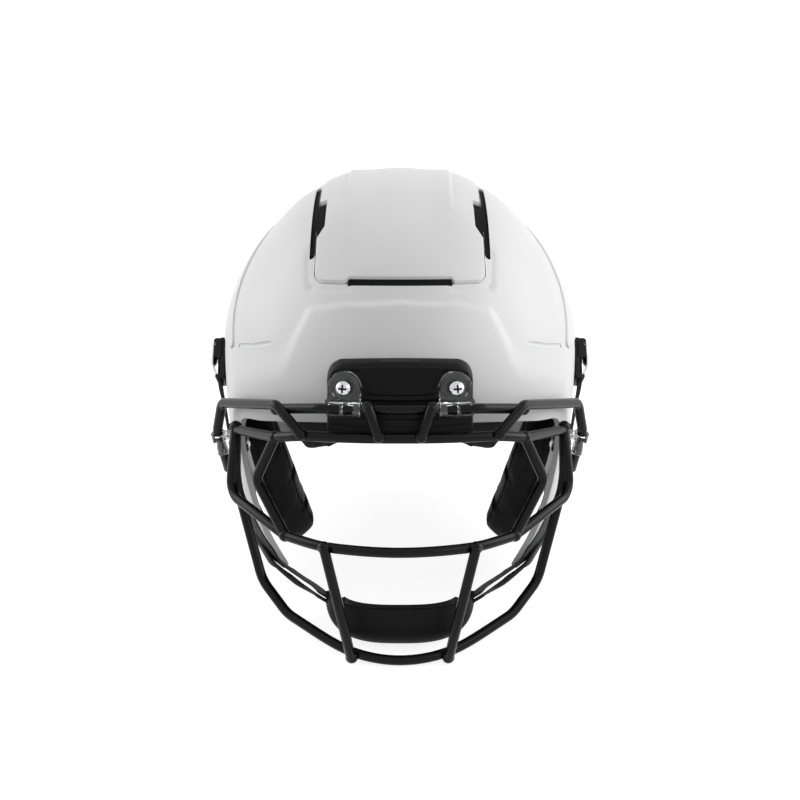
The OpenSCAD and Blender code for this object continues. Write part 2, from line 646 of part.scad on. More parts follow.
// Cushions over the pockets lie deeper than those on the bare wall
wall_back = shell_wall + 3.4;
pocket_pad_back = stem_sink + 2 + 1 - pocket_back;
module front_pad() set_down() color([0.12, 0.12, 0.13])
    cushion([0, 20], [84, 28], wall_back + 0.9, pad_t - 4, $face = function(u, v) [u, -130, v - u * u / 500]);
module crown_pad() set_down() color([0.12, 0.12, 0.13])
    cushion([0, 8], [58, 64], pocket_pad_back, pad_t - 4, [-0.34, 0.34],
            $face = function(u, v) [u, v, 100 - abs(v) / 4]);
module rear_pad() set_down() color([0.12, 0.12, 0.13])
    cushion([0, -22], [62, 52], wall_back, pad_t - 4, [0], $face = function(u, v) [u, 120, v]);
module side_pad(left) set_down() on_side(left) color([0.12, 0.12, 0.13])
    cushion([10, 34], [52, 25], pocket_pad_back, pad_t - 6, [], $face = function(u, v) [100, u, v]);
module side_pad_left() side_pad(true);
module side_pad_right() side_pad(false);
module jaw_pad(left) set_down() on_side(left) color([0.12, 0.12, 0.13])
    cushion([-47, -76], [34, 50], wall_back, jaw_pad_t, [-0.3, 0.36],
            $face = function(u, v) [100, u, v + 0.3 * (u + 47)]);
module jaw_pad_left() jaw_pad(true);
module jaw_pad_right() jaw_pad(false);
// Hook patches that hold the cushions on the wall
module hook_patch(p, n, near, far) bar(p - n * (near + 1.4), p - n * (far - 0.35), 7);
module hook_patches() set_down() color([0.2, 0.2, 0.21]) both() {
    for (d = [[55, -110, 24], [30, 120, 20], [40, 112, -45], [100, -40, -58], [95, -60, -92], [100, -22, -86]])
        hook_patch(on_dome(d), dome_normal(d), shell_wall, wall_back);
    for (d = [[25, -25, 100], [25, 30, 100], [100, -12, 52], [100, 46, 22]])
        hook_patch(on_dome(d), dome_normal(d), -pocket_back, pocket_pad_back);
}

// Chin strap

// Webbing through stations [point, normal], flat on its normals
module webbing(stations) {
    pts = [for (s = stations) s[0]];
    t = tangents(pts);
    slab([for (i = [0 : len(pts) - 1])
        let (n = carried(stations[i][1], t[i]), a = cross(t[i], n) * strap_w / 2)
        [for (k = [-1, -0.5, 0, 0.5, 1]) [pts[i] + a * k + n * strap_t / 2, pts[i] + a * k - n * strap_t / 2]]]);
}
function laid(d, off) = [on_dome(d) + (off + strap_t / 2) * dome_normal(d), dome_normal(d)];
// Station in a buckle, x along its run
function in_buckle(stud, run, x) =
    let (n = dome_normal(stud))
    [on_dome(stud) + carried(run, n) * x + n * (buckle_gap + buckle_base + 0.35 + strap_t / 2), n];
module upper_strap(left) set_down() on_side(left) color([0.1, 0.1, 0.11])
    webbing([in_buckle(upper_stud, upper_run, -11), in_buckle(upper_stud, upper_run, 0),
             in_buckle(upper_stud, upper_run, 16), laid([115, -13, -37], 2),
             laid([112, -29, -55], 0.8), laid([107, -46, -72], 0.8), laid([96, -66, -92], 0.8),
             laid([84, -79, -110], 1.2), [[74, -93, -118.5], [0.75, -0.5, -0.35]],
             [[61, -108, -121], [0.8, -0.55, -0.1]], [[cup_ear_x + 7.5, -122, -120.5], [0.93, -0.3, 0]],
             [[cup_ear_x + 3.1, -133, -120], [1, 0, 0]], [[cup_ear_x + 2.7, -141, -120], [1, 0, 0]]]);
module lower_strap(left) set_down() on_side(left) color([0.1, 0.1, 0.11])
    webbing([in_buckle(lower_stud, lower_run, -11), in_buckle(lower_stud, lower_run, 0),
             in_buckle(lower_stud, lower_run, 16), laid([98, -8, -97], 2),
             laid([94, -30, -106], 1.5), laid([88, -50, -113], 2.2), laid([84, -68, -112], 3.6),
             [[76.3, -94.5, -121], [0.75, -0.5, -0.3]], [[64, -110, -122], [0.85, -0.5, -0.1]],
             [[cup_ear_x + 11.5, -122.5, -122], [0.93, -0.3, 0]],
             [[cup_ear_x + 6.4, -133, -121], [1, -0.05, 0]], [[cup_ear_x + 5.6, -140, -121], [1, 0, 0]]]);
module upper_strap_left() upper_strap(true);
module upper_strap_right() upper_strap(false);
module lower_strap_left() lower_strap(true);
module lower_strap_right() lower_strap(false);

module snap_studs() set_down() color("silver") both() for (d = [upper_stud, lower_stud])
    face_frame(on_dome(d), dome_normal(d)) {
        translate([0, 0, -shell_wall - 1.6]) cylinder(h = shell_wall + 3, r = 2, $fn = 48);
        translate([0, 0, 0.1]) cylinder(h = 2, r = stud_r, $fn = 64);
        translate([0, 0, -shell_wall - 1.7]) cylinder(h = 1.2, r = stud_r, $fn = 64);
    }
// Ladder buckle on a snap stud, webbing between its two cheeks
module buckle(stud, run) {
    inner_w = buckle_w - 2 * buckle_wall;
    run_frame(on_dome(stud) + buckle_gap * dome_normal(stud), dome_normal(stud), run) difference() {
        union() {
            translate([-buckle_l / 2, -buckle_w / 2, 0]) cube([buckle_l, buckle_w, buckle_base]);
            for (s = [-1, 1]) translate([-buckle_l / 2, s > 0 ? inner_w / 2 : -buckle_w / 2, 0])
                cube([buckle_l * 0.72, buckle_wall, lever_pin_z + 1.9]);
            translate([buckle_l / 2 - 2.4, -buckle_w / 2, buckle_base + strap_t + 0.7])
                cube([2.4, buckle_w, 1.2]);
            for (s = [-1, 1]) translate([buckle_l / 2 - 2.4, s > 0 ? inner_w / 2 : -buckle_w / 2, 0])
                cube([2.4, buckle_wall, buckle_base + strap_t + 1.9]);
        }
        translate([0, 0, -1]) cylinder(h = 3.2, r = stud_r + 0.05, $fn = 64);
        translate([lever_pin_x, 0, lever_pin_z]) rotate([90, 0, 0])
            cylinder(h = buckle_w + 4, r = lever_pin_r + pin_play, center = true, $fn = 48);
    }
}
module buckle_lever(stud, run) {
    lever_w = buckle_w - 2 * buckle_wall - 1;
    run_frame(on_dome(stud) + buckle_gap * dome_normal(stud), dome_normal(stud), run) {
        translate([lever_pin_x, 0, lever_pin_z]) rotate([90, 0, 0]) {
            cylinder(h = buckle_w, r = lever_pin_r, center = true, $fn = 48);
            cylinder(h = lever_w, r = lever_eye_r, center = true, $fn = 48);
        }
        slab([for (i = [0 : 8]) let (x = lever_pin_x + i * lever_l / 8, z = lever_pin_z + 0.1 + 1.2 * sin(180 * i / 8))
            [for (s = [-1, 0, 1]) [[x, s * lever_w / 2, z + 1.4], [x, s * lever_w / 2, z - 0.4]]]]);
    }
}
module upper_buckle(left) set_down() on_side(left) color([0.07, 0.07, 0.08]) buckle(upper_stud, upper_run);
module upper_buckle_left() upper_buckle(true);
module upper_buckle_right() upper_buckle(false);
module lower_buckle(left) set_down() on_side(left) color([0.07, 0.07, 0.08]) buckle(lower_stud, lower_run);
module lower_buckle_left() lower_buckle(true);
module lower_buckle_right() lower_buckle(false);
module upper_lever(left) set_down() on_side(left) color("silver") buckle_lever(upper_stud, upper_run);
module upper_lever_left() upper_lever(true);
module upper_lever_right() upper_lever(false);
module lower_lever(left) set_down() on_side(left) color("silver") buckle_lever(lower_stud, lower_run);
module lower_lever_left() lower_lever(true);
module lower_lever_right() lower_lever(false);

// Point of the cup's scoop: a runs across it, v from its lip down and back under the chin
function squared(x, p) = sign(x) * pow(abs(x), p);
function cup_point(a, v, off) =
    let (k = squared(cos(a), 0.65))
    cup_mid + [(cup_half_w + off) * squared(sin(a), 0.7), -(cup_forward + off) * k * squared(cos(v), 0.5),
               -(cup_depth + off) * k * squared(sin(v), 0.5)];
module cup_shell(lo, hi, reach, from, to) {
    slab([for (i = [-7 : 7]) [for (j = [0 : 8])
        let (a = reach * i / 7, v = mix(from, to, j / 8)) [cup_point(a, v, hi), cup_point(a, v, lo)]]]);
}
module chin_cup() set_down() color([0.9, 0.9, 0.91]) {
    cup_shell(-cup_wall, 0, 76, 0, 100);
    // Ears that the webbing lies against
    both() slab([for (y = [-141, -136, -126, -120]) [for (z = [-127, -123, -118, -114])
        [[cup_ear_x + 1.2, y, z], [cup_ear_x - 1.2, y, z]]]]);
}
module chin_cup_pad() set_down() color([0.15, 0.15, 0.16])
    cup_shell(-cup_wall - 6.4, -cup_wall - 0.4, 62, 3, 96);

// Air valves

module air_valves() set_down() color([0.12, 0.12, 0.13]) both()
    face_frame(on_dome(valve_seat), dome_normal(valve_seat)) difference() {
        union() {
            translate([0, 0, -valve_l]) cylinder(h = valve_l + 0.5, r = valve_r, $fn = 64);
            translate([0, 0, 0.4]) cylinder(h = 1, r = valve_r + 1.6, $fn = 64);
        }
        translate([0, 0, -valve_l + 1]) cylinder(h = valve_l + 2, r = needle_r, $fn = 48);
    }

shell();
crown_plate();
side_plate_left();
side_plate_right();
crown_stops();
side_stops();
nose_bumper();
rear_bumper();
rear_bumper_screws();
mask_upper_brow_bar();
mask_lower_brow_bar();
mask_brow_struts();
mask_side_loop_left();
mask_side_loop_right();
mask_sweep_left();
mask_sweep_right();
mask_mouth_bar();
mask_chin_bar();
mask_chin_struts();
front_clip_left();
front_clip_right();
side_clip_left();
side_clip_right();
front_screw_left();
front_screw_right();
side_screw_left();
side_screw_right();
nuts();
front_pad();
crown_pad();
rear_pad();
side_pad_left();
side_pad_right();
jaw_pad_left();
jaw_pad_right();
hook_patches();
snap_studs();
upper_buckle_left();
upper_buckle_right();
lower_buckle_left();
lower_buckle_right();
upper_lever_left();
upper_lever_right();
lower_lever_left();
lower_lever_right();
upper_strap_left();
upper_strap_right();
lower_strap_left();
lower_strap_right();
chin_cup();
chin_cup_pad();
air_valves();
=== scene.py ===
import math

import bmesh
import bpy
from mathutils import Matrix, Vector, kdtree

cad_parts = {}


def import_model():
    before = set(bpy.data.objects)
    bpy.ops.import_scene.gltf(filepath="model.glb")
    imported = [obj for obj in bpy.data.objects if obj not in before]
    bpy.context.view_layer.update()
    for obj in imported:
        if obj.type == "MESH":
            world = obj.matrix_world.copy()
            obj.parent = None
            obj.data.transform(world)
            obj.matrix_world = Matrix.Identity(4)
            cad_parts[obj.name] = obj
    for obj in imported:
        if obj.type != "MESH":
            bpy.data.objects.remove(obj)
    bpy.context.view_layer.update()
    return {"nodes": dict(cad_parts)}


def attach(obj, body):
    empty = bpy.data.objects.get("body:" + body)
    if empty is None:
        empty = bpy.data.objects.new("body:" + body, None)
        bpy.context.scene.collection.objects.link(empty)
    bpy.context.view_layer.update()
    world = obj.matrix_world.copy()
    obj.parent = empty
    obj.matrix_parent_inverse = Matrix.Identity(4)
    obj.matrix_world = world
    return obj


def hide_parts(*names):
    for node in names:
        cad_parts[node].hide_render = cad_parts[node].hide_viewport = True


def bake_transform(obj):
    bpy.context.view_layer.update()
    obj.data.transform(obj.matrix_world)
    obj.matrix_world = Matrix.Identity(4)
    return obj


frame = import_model()
scene = bpy.context.scene
print("frame loaded")

mm = 0.001
domeCentre = Vector((0, 26.65, 146.3))  # where the dome's centre stands, in mm
toWorld = Matrix.Scale(mm, 4) @ Matrix.Translation(domeCentre)
flipX = Matrix.Diagonal((-1, 1, 1, 1))
fine = 1.0


# camera, lights and floor

view = {"elevation": 24, "distance": 1500, "focal": 2185, "drop": 34.3, "frameWidth": 800, "sensor": 36}
back = Vector((0, -math.cos(math.radians(view["elevation"])), math.sin(math.radians(view["elevation"]))))
up = Vector((0, math.sin(math.radians(view["elevation"])), math.cos(math.radians(view["elevation"]))))
cameraData = bpy.data.cameras.new("camera")
cameraData.sensor_width = view["sensor"]
cameraData.lens = view["focal"] / view["frameWidth"] * view["sensor"]
camera = bpy.data.objects.new("camera", cameraData)
camera.location = (domeCentre - up * view["drop"] + back * view["distance"]) * mm
camera.rotation_euler = (math.radians(90 - view["elevation"]), 0, 0)
scene.collection.objects.link(camera)
scene.camera = camera
scene.view_settings.view_transform = "Standard"

lamps = {
    # place in m, size in m, power in W
    "sideLeft": ((-2.3, 0.7, 1.1), 2.0, 34),
    "sideRight": ((2.3, 0.5, 1.1), 2.0, 38),
    "keyRight": ((1.9, -1.3, 1.7), 1.4, 9),
    "topBack": ((0, 1.2, 2.2), 2.0, 4),
}
studio = {"aim": Vector((0, 0, 0.14)), "worldOnMatte": 0.4, "worldSeen": 1.0, "floorGlow": 0.84}
for name, (place, size, power) in lamps.items():
    light = bpy.data.lights.new(name, "AREA")
    light.size = size
    light.energy = power
    lamp = bpy.data.objects.new(name, light)
    lamp.location = place
    aim = studio["aim"] - Vector(place)
    lamp.rotation_euler = aim.to_track_quat("-Z", "Y").to_euler()
    scene.collection.objects.link(lamp)


def anyOf(nodes, links, path, kinds):
    # 1 where the ray is of any of the given kinds
    seen = path.outputs[kinds[0]]
    for kind in kinds[1:]:
        larger = nodes.new("ShaderNodeMath")
        larger.operation = "MAXIMUM"
        links.new(seen, larger.inputs[0])
        links.new(path.outputs[kind], larger.inputs[1])
        seen = larger.outputs[0]
    return seen


world = bpy.data.worlds.new("studio")
scene.world = world
world.use_nodes = True
nodes, links = world.node_tree.nodes, world.node_tree.links
background = nodes["Background"]
path = nodes.new("ShaderNodeLightPath")
seen = anyOf(nodes, links, path, ("Is Camera Ray", "Is Glossy Ray", "Is Transmission Ray"))
strength = nodes.new("ShaderNodeMapRange")
strength.inputs["To Min"].default_value = studio["worldOnMatte"]
strength.inputs["To Max"].default_value = studio["worldSeen"]
links.new(seen, strength.inputs["Value"])
links.new(strength.outputs["Result"], background.inputs["Strength"])
background.inputs["Color"].default_value = (1, 1, 1, 1)
print("camera and lights placed")


# effects that several finishes share

def newGroup(name, inputs, outputs):
    tree = bpy.data.node_groups.new(name, "ShaderNodeTree")
    for label, value in inputs.items():
        socket = tree.interface.new_socket(name=label, in_out="INPUT", socket_type="NodeSocketFloat")
        socket.default_value = value
    for label, kind in outputs.items():
        tree.interface.new_socket(name=label, in_out="OUTPUT", socket_type=kind)
    return tree, tree.nodes.new("NodeGroupInput"), tree.nodes.new("NodeGroupOutput")


def moulding():
    # cloudy change in gloss and tone, and a fine texture: Cloud and Grain are 0 to 1
    tree, given, result = newGroup(
        "moulding", {"Cloud Scale": 20, "Grain Scale": 900},
        {"Cloud": "NodeSocketFloat", "Grain": "NodeSocketFloat"})
    coords = tree.nodes.new("ShaderNodeTexCoord")
    for label, detail in (("Cloud", 3), ("Grain", 1)):
        noise = tree.nodes.new("ShaderNodeTexNoise")
        noise.inputs["Detail"].default_value = detail
        tree.links.new(coords.outputs["Object"], noise.inputs["Vector"])
        tree.links.new(given.outputs[label + " Scale"], noise.inputs["Scale"])
        tree.links.new(noise.outputs["Fac"], result.inputs[label])
    return tree


def pebble():
    # raised pebbles with creases between them, as on coated cloth and moulded rubber
    tree, given, result = newGroup("pebble", {"Scale": 1400}, {"Height": "NodeSocketFloat"})
    coords = tree.nodes.new("ShaderNodeTexCoord")
    cells = tree.nodes.new("ShaderNodeTexVoronoi")
    cells.feature = "DISTANCE_TO_EDGE"
    ramp = tree.nodes.new("ShaderNodeMapRange")
    ramp.inputs["From Max"].default_value = 0.25
    tree.links.new(coords.outputs["Object"], cells.inputs["Vector"])
    tree.links.new(given.outputs["Scale"], cells.inputs["Scale"])
    tree.links.new(cells.outputs["Distance"], ramp.inputs["Value"])
    tree.links.new(ramp.outputs["Result"], result.inputs["Height"])
    return tree


def weave():
    # plain weave on a piece's own UV map, which is in millimetres
    tree, given, result = newGroup("weave", {"Across": 1.0, "Along": 1.0}, {"Height": "NodeSocketFloat"})
    coords = tree.nodes.new("ShaderNodeUVMap")
    split = tree.nodes.new("ShaderNodeSeparateXYZ")
    tree.links.new(coords.outputs["UV"], split.inputs[0])
    waves = []
    for axis, label in (("X", "Across"), ("Y", "Along")):
        scale = tree.nodes.new("ShaderNodeMath")
        scale.operation = "MULTIPLY"
        tree.links.new(split.outputs[axis], scale.inputs[0])
        tree.links.new(given.outputs[label], scale.inputs[1])
        wave = tree.nodes.new("ShaderNodeMath")
        wave.operation = "SINE"
        tree.links.new(scale.outputs[0], wave.inputs[0])
        waves.append(wave)
    over = tree.nodes.new("ShaderNodeMath")
    over.operation = "MULTIPLY_ADD"  # threads pass over and under each other
    tree.links.new(waves[0].outputs[0], over.inputs[0])
    tree.links.new(waves[1].outputs[0], over.inputs[1])
    over.inputs[2].default_value = 0.5
    tree.links.new(over.outputs[0], result.inputs["Height"])
    return tree


groups = {"moulding": moulding(), "pebble": pebble(), "weave": weave()}


# finishes

def finish(name, color, darker, roughness, spread, cloud=20, grain=900, bump=0.02, relief="moulding",
           reliefScale=1400, depth=0.0002, **shader):
    # colour runs between two tones and roughness by spread with the cloudy mask; relief gives the bump
    material = bpy.data.materials.new(name)
    material.use_nodes = True
    nodes, links = material.node_tree.nodes, material.node_tree.links
    principled = nodes["Principled BSDF"]
    for label, value in shader.items():
        principled.inputs[label.replace("_", " ")].default_value = value
    mould = nodes.new("ShaderNodeGroup")
    mould.node_tree = groups["moulding"]
    mould.inputs["Cloud Scale"].default_value = cloud
    mould.inputs["Grain Scale"].default_value = grain
    tone = nodes.new("ShaderNodeMix")
    tone.data_type = "RGBA"
    tone.inputs["A"].default_value = (*darker, 1)
    tone.inputs["B"].default_value = (*color, 1)
    links.new(mould.outputs["Cloud"], tone.inputs["Factor"])
    links.new(tone.outputs["Result"], principled.inputs["Base Color"])
    gloss = nodes.new("ShaderNodeMapRange")
    gloss.inputs["To Min"].default_value = roughness - spread
    gloss.inputs["To Max"].default_value = roughness + spread
    links.new(mould.outputs["Cloud"], gloss.inputs["Value"])
    links.new(gloss.outputs["Result"], principled.inputs["Roughness"])
    height = mould.outputs["Grain"]
    if relief != "moulding":
        extra = nodes.new("ShaderNodeGroup")
        extra.node_tree = groups[relief]
        if relief == "pebble":
            extra.inputs["Scale"].default_value = reliefScale
        else:
            extra.inputs["Across"].default_value = reliefScale
            extra.inputs["Along"].default_value = reliefScale * 0.8
        height = extra.outputs["Height"]
    bumps = nodes.new("ShaderNodeBump")
    bumps.inputs["Strength"].default_value = bump
    bumps.inputs["Distance"].default_value = depth
    links.new(height, bumps.inputs["Height"])
    links.new(bumps.outputs["Normal"], principled.inputs["Normal"])
    return material


finishes = {
    "shell": finish("whiteShell", (0.83, 0.83, 0.835), (0.80, 0.80, 0.805), 0.4, 0.04, cloud=9, grain=260,
                    bump=0.012, depth=0.0004, Specular_IOR_Level=0.4),
    "bumper": finish("bumperRubber", (0.009, 0.009, 0.0095), (0.006, 0.006, 0.0065), 0.42, 0.06, cloud=45,
                     relief="pebble", reliefScale=1500, bump=0.12, depth=0.0001, Specular_IOR_Level=0.12),
    "face": finish("bumperFace", (0.007, 0.007, 0.0075), (0.005, 0.005, 0.0055), 0.3, 0.04, cloud=60,
                   bump=0.03, Specular_IOR_Level=0.1),
    "wire": finish("powderCoat", (0.007, 0.007, 0.0075), (0.004, 0.004, 0.0045), 0.2, 0.05, cloud=70,
                   grain=1600, bump=0.1, depth=0.0001, Specular_IOR_Level=0.16),
    "clip": finish("clearPlastic", (0.97, 0.98, 0.98), (0.93, 0.95, 0.96), 0.015, 0.01, cloud=120, bump=0.01,
                   Transmission_Weight=1.0, IOR=1.4),
    "chrome": finish("brightPlate", (0.66, 0.66, 0.67), (0.56, 0.56, 0.57), 0.14, 0.04, cloud=160, bump=0.03,
                     Metallic=1.0),
    "lever": finish("brushedLever", (0.8, 0.8, 0.81), (0.62, 0.62, 0.64), 0.24, 0.07, cloud=220, bump=0.05,
                    Metallic=1.0),
    # dark foam of the stops, also used as painted shade for the screw crosses and the strips under the vents
    # and the front slot
    "stop": finish("darkFoamAndShade", (0.012, 0.012, 0.013), (0.007, 0.007, 0.0075), 0.85, 0.08, cloud=90,
                   grain=2400, bump=0.3, Specular_IOR_Level=0.1),
    "pad": finish("coatedCloth", (0.015, 0.015, 0.016), (0.01, 0.01, 0.011), 0.56, 0.06, cloud=30,
                  relief="pebble", reliefScale=1300, bump=0.2, depth=0.0002, Sheen_Weight=0.12,
                  Sheen_Roughness=0.4, Specular_IOR_Level=0.12),
    "patch": finish("hookTape", (0.06, 0.06, 0.064), (0.03, 0.03, 0.032), 0.85, 0.05, cloud=900, grain=3000,
                    bump=0.6, depth=0.0004),
    "buckle": finish("mouldedNylon", (0.022, 0.022, 0.024), (0.014, 0.014, 0.015), 0.42, 0.06, cloud=80,
                     grain=2200, bump=0.1, Specular_IOR_Level=0.15),
    "web": finish("wovenWeb", (0.03, 0.03, 0.032), (0.016, 0.016, 0.017), 0.75, 0.06, cloud=260,
                  relief="weave", reliefScale=4.4, bump=0.7, depth=0.0003, Sheen_Weight=0.2,
                  Sheen_Roughness=0.5, Specular_IOR_Level=0.15),
    "cup": finish("cupPlastic", (0.008, 0.008, 0.0085), (0.005, 0.005, 0.0055), 0.5, 0.06, cloud=60,
                  relief="pebble", reliefScale=1700, bump=0.14, depth=0.0001, Specular_IOR_Level=0.12),
    "valve": finish("valveRubber", (0.05, 0.05, 0.05), (0.03, 0.03, 0.03), 0.6, 0.05, cloud=200, bump=0.06),
}
print("finishes made")

floorMaterial = bpy.data.materials.new("floorPaper")
floorMaterial.use_nodes = True
nodes, links = floorMaterial.node_tree.nodes, floorMaterial.node_tree.links
floorShader = nodes["Principled BSDF"]
floorShader.inputs["Base Color"].default_value = (0.5, 0.5, 0.5, 1)
floorShader.inputs["Roughness"].default_value = 0.9
floorShader.inputs["Specular IOR Level"].default_value = 0
floorShader.inputs["Emission Color"].default_value = (1, 1, 1, 1)
path = nodes.new("ShaderNodeLightPath")
glow = nodes.new("ShaderNodeMath")
glow.operation = "MULTIPLY"
glow.inputs[1].default_value = studio["floorGlow"]
seen = anyOf(nodes, links, path, ("Is Camera Ray", "Is Glossy Ray", "Is Transmission Ray"))
links.new(seen, glow.inputs[0])
links.new(glow.outputs[0], floorShader.inputs["Emission Strength"])
floorMesh = bpy.data.meshes.new("floor")
bm = bmesh.new()
bmesh.ops.create_grid(bm, x_segments=1, y_segments=1, size=6)
bm.to_mesh(floorMesh)
bm.free()
floorMesh.materials.append(floorMaterial)
floorPlane = bpy.data.objects.new("floor", floorMesh)
scene.collection.objects.link(floorPlane)


# the dome, in mm from its centre

dome = {"halfWidth": 119.5, "front": 143, "rear": 140, "top": 119, "drop": 190, "wall": 4, "shoulder": 3.6}


def domeRadius(d):
    n = 2 + 0.35 * min(1, max(0, -1.6 * d.z))
    reach = dome["front"] if d.y < 0 else dome["rear"]
    rise = dome["top"] if d.z > 0 else dome["drop"]
    return (abs(d.x / dome["halfWidth"]) ** n + abs(d.y / reach) ** n + abs(d.z / rise) ** n) ** (-1 / n)


def onDome(v, off=0):
    d = Vector(v).normalized()
    return d * (domeRadius(d) + off)


def domeNormal(v):
    d = Vector(v).normalized()
    a = Vector((0, 0, 1)).cross(d).normalized()
    b = d.cross(a)
    p = onDome(d)
    return (onDome(d + a * 0.01) - p).cross(onDome(d + b * 0.01) - p).normalized()


def reachAt(y):
    return dome["front"] if y < 0 else dome["rear"]


def gradient(x, y, z):
    return Vector((x / dome["halfWidth"] ** 2, y / reachAt(y) ** 2, z / dome["top"] ** 2)).normalized()


def shoulder(x, y):
    # how far the crown stands above the plain dome: flat across the middle, full at its shoulders
    x = abs(x)
    across = 0.8 * smooth((60 - x) / 30) + dome["shoulder"] * smooth((x - 14) / 26) * smooth((94 - x) / 34)
    return across * smooth((y + 84) / 56) * smooth((92 - y) / 30)


def over(x, y, off):
    off += shoulder(x, y)
    z = dome["top"] * math.sqrt(1 - (x / dome["halfWidth"]) ** 2 - (y / reachAt(y)) ** 2)
    return Vector((x, y, z + off / gradient(x, y, z).z))


def beside(y, z, off):
    x = dome["halfWidth"] * math.sqrt(1 - (y / reachAt(y)) ** 2 - (z / dome["top"]) ** 2)
    return Vector((x + off / gradient(x, y, z).x, y, z))


def before(x, z, off):
    y = -dome["front"] * math.sqrt(1 - (x / dome["halfWidth"]) ** 2 - (z / dome["top"]) ** 2)
    return Vector((x, y + off / gradient(x, y, z).y, z))


def mix(a, b, t):
    return a * (1 - t) + b * t


def smooth(t):
    t = min(1, max(0, t))
    return t * t * (3 - 2 * t)


def lookUp(x, table):
    # straight lines between the pairs of a table that rises in x
    if x <= table[0][0]:
        return table[0][1]
    for (x0, y0), (x1, y1) in zip(table, table[1:]):
        if x <= x1:
            return mix(y0, y1, (x - x0) / (x1 - x0))
    return table[-1][1]


def slerp(a, b, t):
    w = math.acos(min(1, max(-1, a.dot(b))))
    return (a * math.sin((1 - t) * w) + b * math.sin(t * w)) / math.sin(w)


def curvePoint(a, b, c, d, t):
    return (b * 2 + (c - a) * t + (a * 2 - b * 5 + c * 4 - d) * t * t + (b * 3 - a - c * 3 + d) * t ** 3) / 2


def mirrored(v):
    return Vector((-v[0], v[1], v[2]))


# mesh helpers

def addGrid(bm, columns, rows, place):
    # a grid whose point (i, j) is put at place(i / columns, j / rows); returns its vertices
    made = bmesh.ops.create_grid(bm, x_segments=columns, y_segments=rows, size=0.5)["verts"]
    for v in made:
        v.co = place(v.co.x + 0.5, v.co.y + 0.5)
    return made


def addSlab(bm, columns, rows, top, bottom):
    # two grids with the gap round their edges closed
    first = set(addGrid(bm, columns, rows, top))
    second = set(addGrid(bm, columns, rows, bottom))
    rim = [e for e in bm.edges if e.is_boundary and (e.verts[0] in first or e.verts[0] in second)]
    bmesh.ops.bridge_loops(bm, edges=rim)
    return list(first | second)


def sharpEdges(bm, angle, keep=lambda e: True):
    limit = math.radians(angle)
    return [e for e in bm.edges if len(e.link_faces) == 2 and e.calc_face_angle(0) > limit and keep(e)]


def roundEdges(bm, width, segments=2, angle=50, keep=lambda e: True):
    bmesh.ops.bevel(bm, geom=sharpEdges(bm, angle, keep), offset=width, segments=segments, affect="EDGES",
                    profile=0.5, material=-1, clamp_overlap=True)


def frameAt(p, n, run=None):
    # axes at p with z along n, and x along run or level
    n = Vector(n).normalized()
    x = Vector((0, 0, 1)).cross(n) if run is None else Vector(run) - n * Vector(run).dot(n)
    x.normalize()
    return Matrix.Translation(Vector(p)) @ Matrix((x, n.cross(x), n)).transposed().to_4x4()


def addRod(bm, a, b, r, segments=32, end=None):
    # a round rod from a to b, or a cone that ends at radius end
    a, b = Vector(a), Vector(b)
    axis = (b - a).normalized()
    turn = axis.to_track_quat("Z", "Y").to_matrix().to_4x4()
    end = r if end is None else end
    return bmesh.ops.create_cone(bm, cap_ends=True, segments=segments, radius1=r, radius2=end,
                                 depth=(b - a).length, matrix=Matrix.Translation((a + b) / 2) @ turn)["verts"]


def addBlock(bm, low, high, place=Matrix.Identity(4)):
    low, high = Vector(low), Vector(high)
    size = Matrix.Diagonal((*(high - low), 1))
    place = place @ Matrix.Translation((low + high) / 2) @ size
    return bmesh.ops.create_cube(bm, size=1, matrix=place)["verts"]


def addSlot(bm, a, b, r, segments=24):
    # prism with round ends: a and b are the two ends of its axis, each a pair of points
    axis = (a[1] - a[0]).normalized()
    across = (b[0] - a[0]).normalized()
    n = across.cross(axis).normalized()
    place = Matrix.Translation(a[0]) @ Matrix((across, n, axis)).transposed().to_4x4()
    disc = bmesh.ops.create_circle(bm, cap_ends=True, segments=segments, radius=r)["verts"]
    for v in disc:
        if v.co.x > 0.001:
            v.co.x += (b[0] - a[0]).length
    face = disc[0].link_faces[0]
    up = bmesh.ops.extrude_face_region(bm, geom=[face])["geom"]
    top = [v for v in up if isinstance(v, bmesh.types.BMVert)]
    bmesh.ops.translate(bm, verts=top, vec=(0, 0, (a[1] - a[0]).length))
    bmesh.ops.transform(bm, matrix=place, verts=disc + top)


def toObject(name, bm):
    bmesh.ops.recalc_face_normals(bm, faces=bm.faces)
    mesh = bpy.data.meshes.new(name)
    bm.to_mesh(mesh)
    bm.free()
    piece = bpy.data.objects.new(name, mesh)
    scene.collection.objects.link(piece)
    return piece


def applyModifiers(piece):
    graph = bpy.context.evaluated_depsgraph_get()
    mesh = bpy.data.meshes.new_from_object(piece.evaluated_get(graph))
    piece.modifiers.clear()
    old = piece.data
    piece.data = mesh
    bpy.data.meshes.remove(old)


def combine(piece, other, operation):
    boolean = piece.modifiers.new("combine", "BOOLEAN")
    boolean.operation = operation
    boolean.solver = "EXACT"
    boolean.object = other
    applyModifiers(piece)
    bpy.data.objects.remove(other)


def settle(piece, look, body, nodes, angle=35, weighted=False, placed=False):
    # from mm about the dome to its place in the frame, with its finish and what it stands for
    if not placed:
        piece.data.transform(toWorld)
    piece.data.materials.clear()
    piece.data.materials.append(finishes[look])
    piece.data.polygons.foreach_set("use_smooth", [True] * len(piece.data.polygons))
    piece.data.set_sharp_from_angle(angle=math.radians(angle))
    if weighted:
        shade = piece.modifiers.new("shade", "WEIGHTED_NORMAL")
        shade.keep_sharp = True
        applyModifiers(piece)
    if nodes:
        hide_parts(*nodes)
    if body:
        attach(piece, body)
    return piece


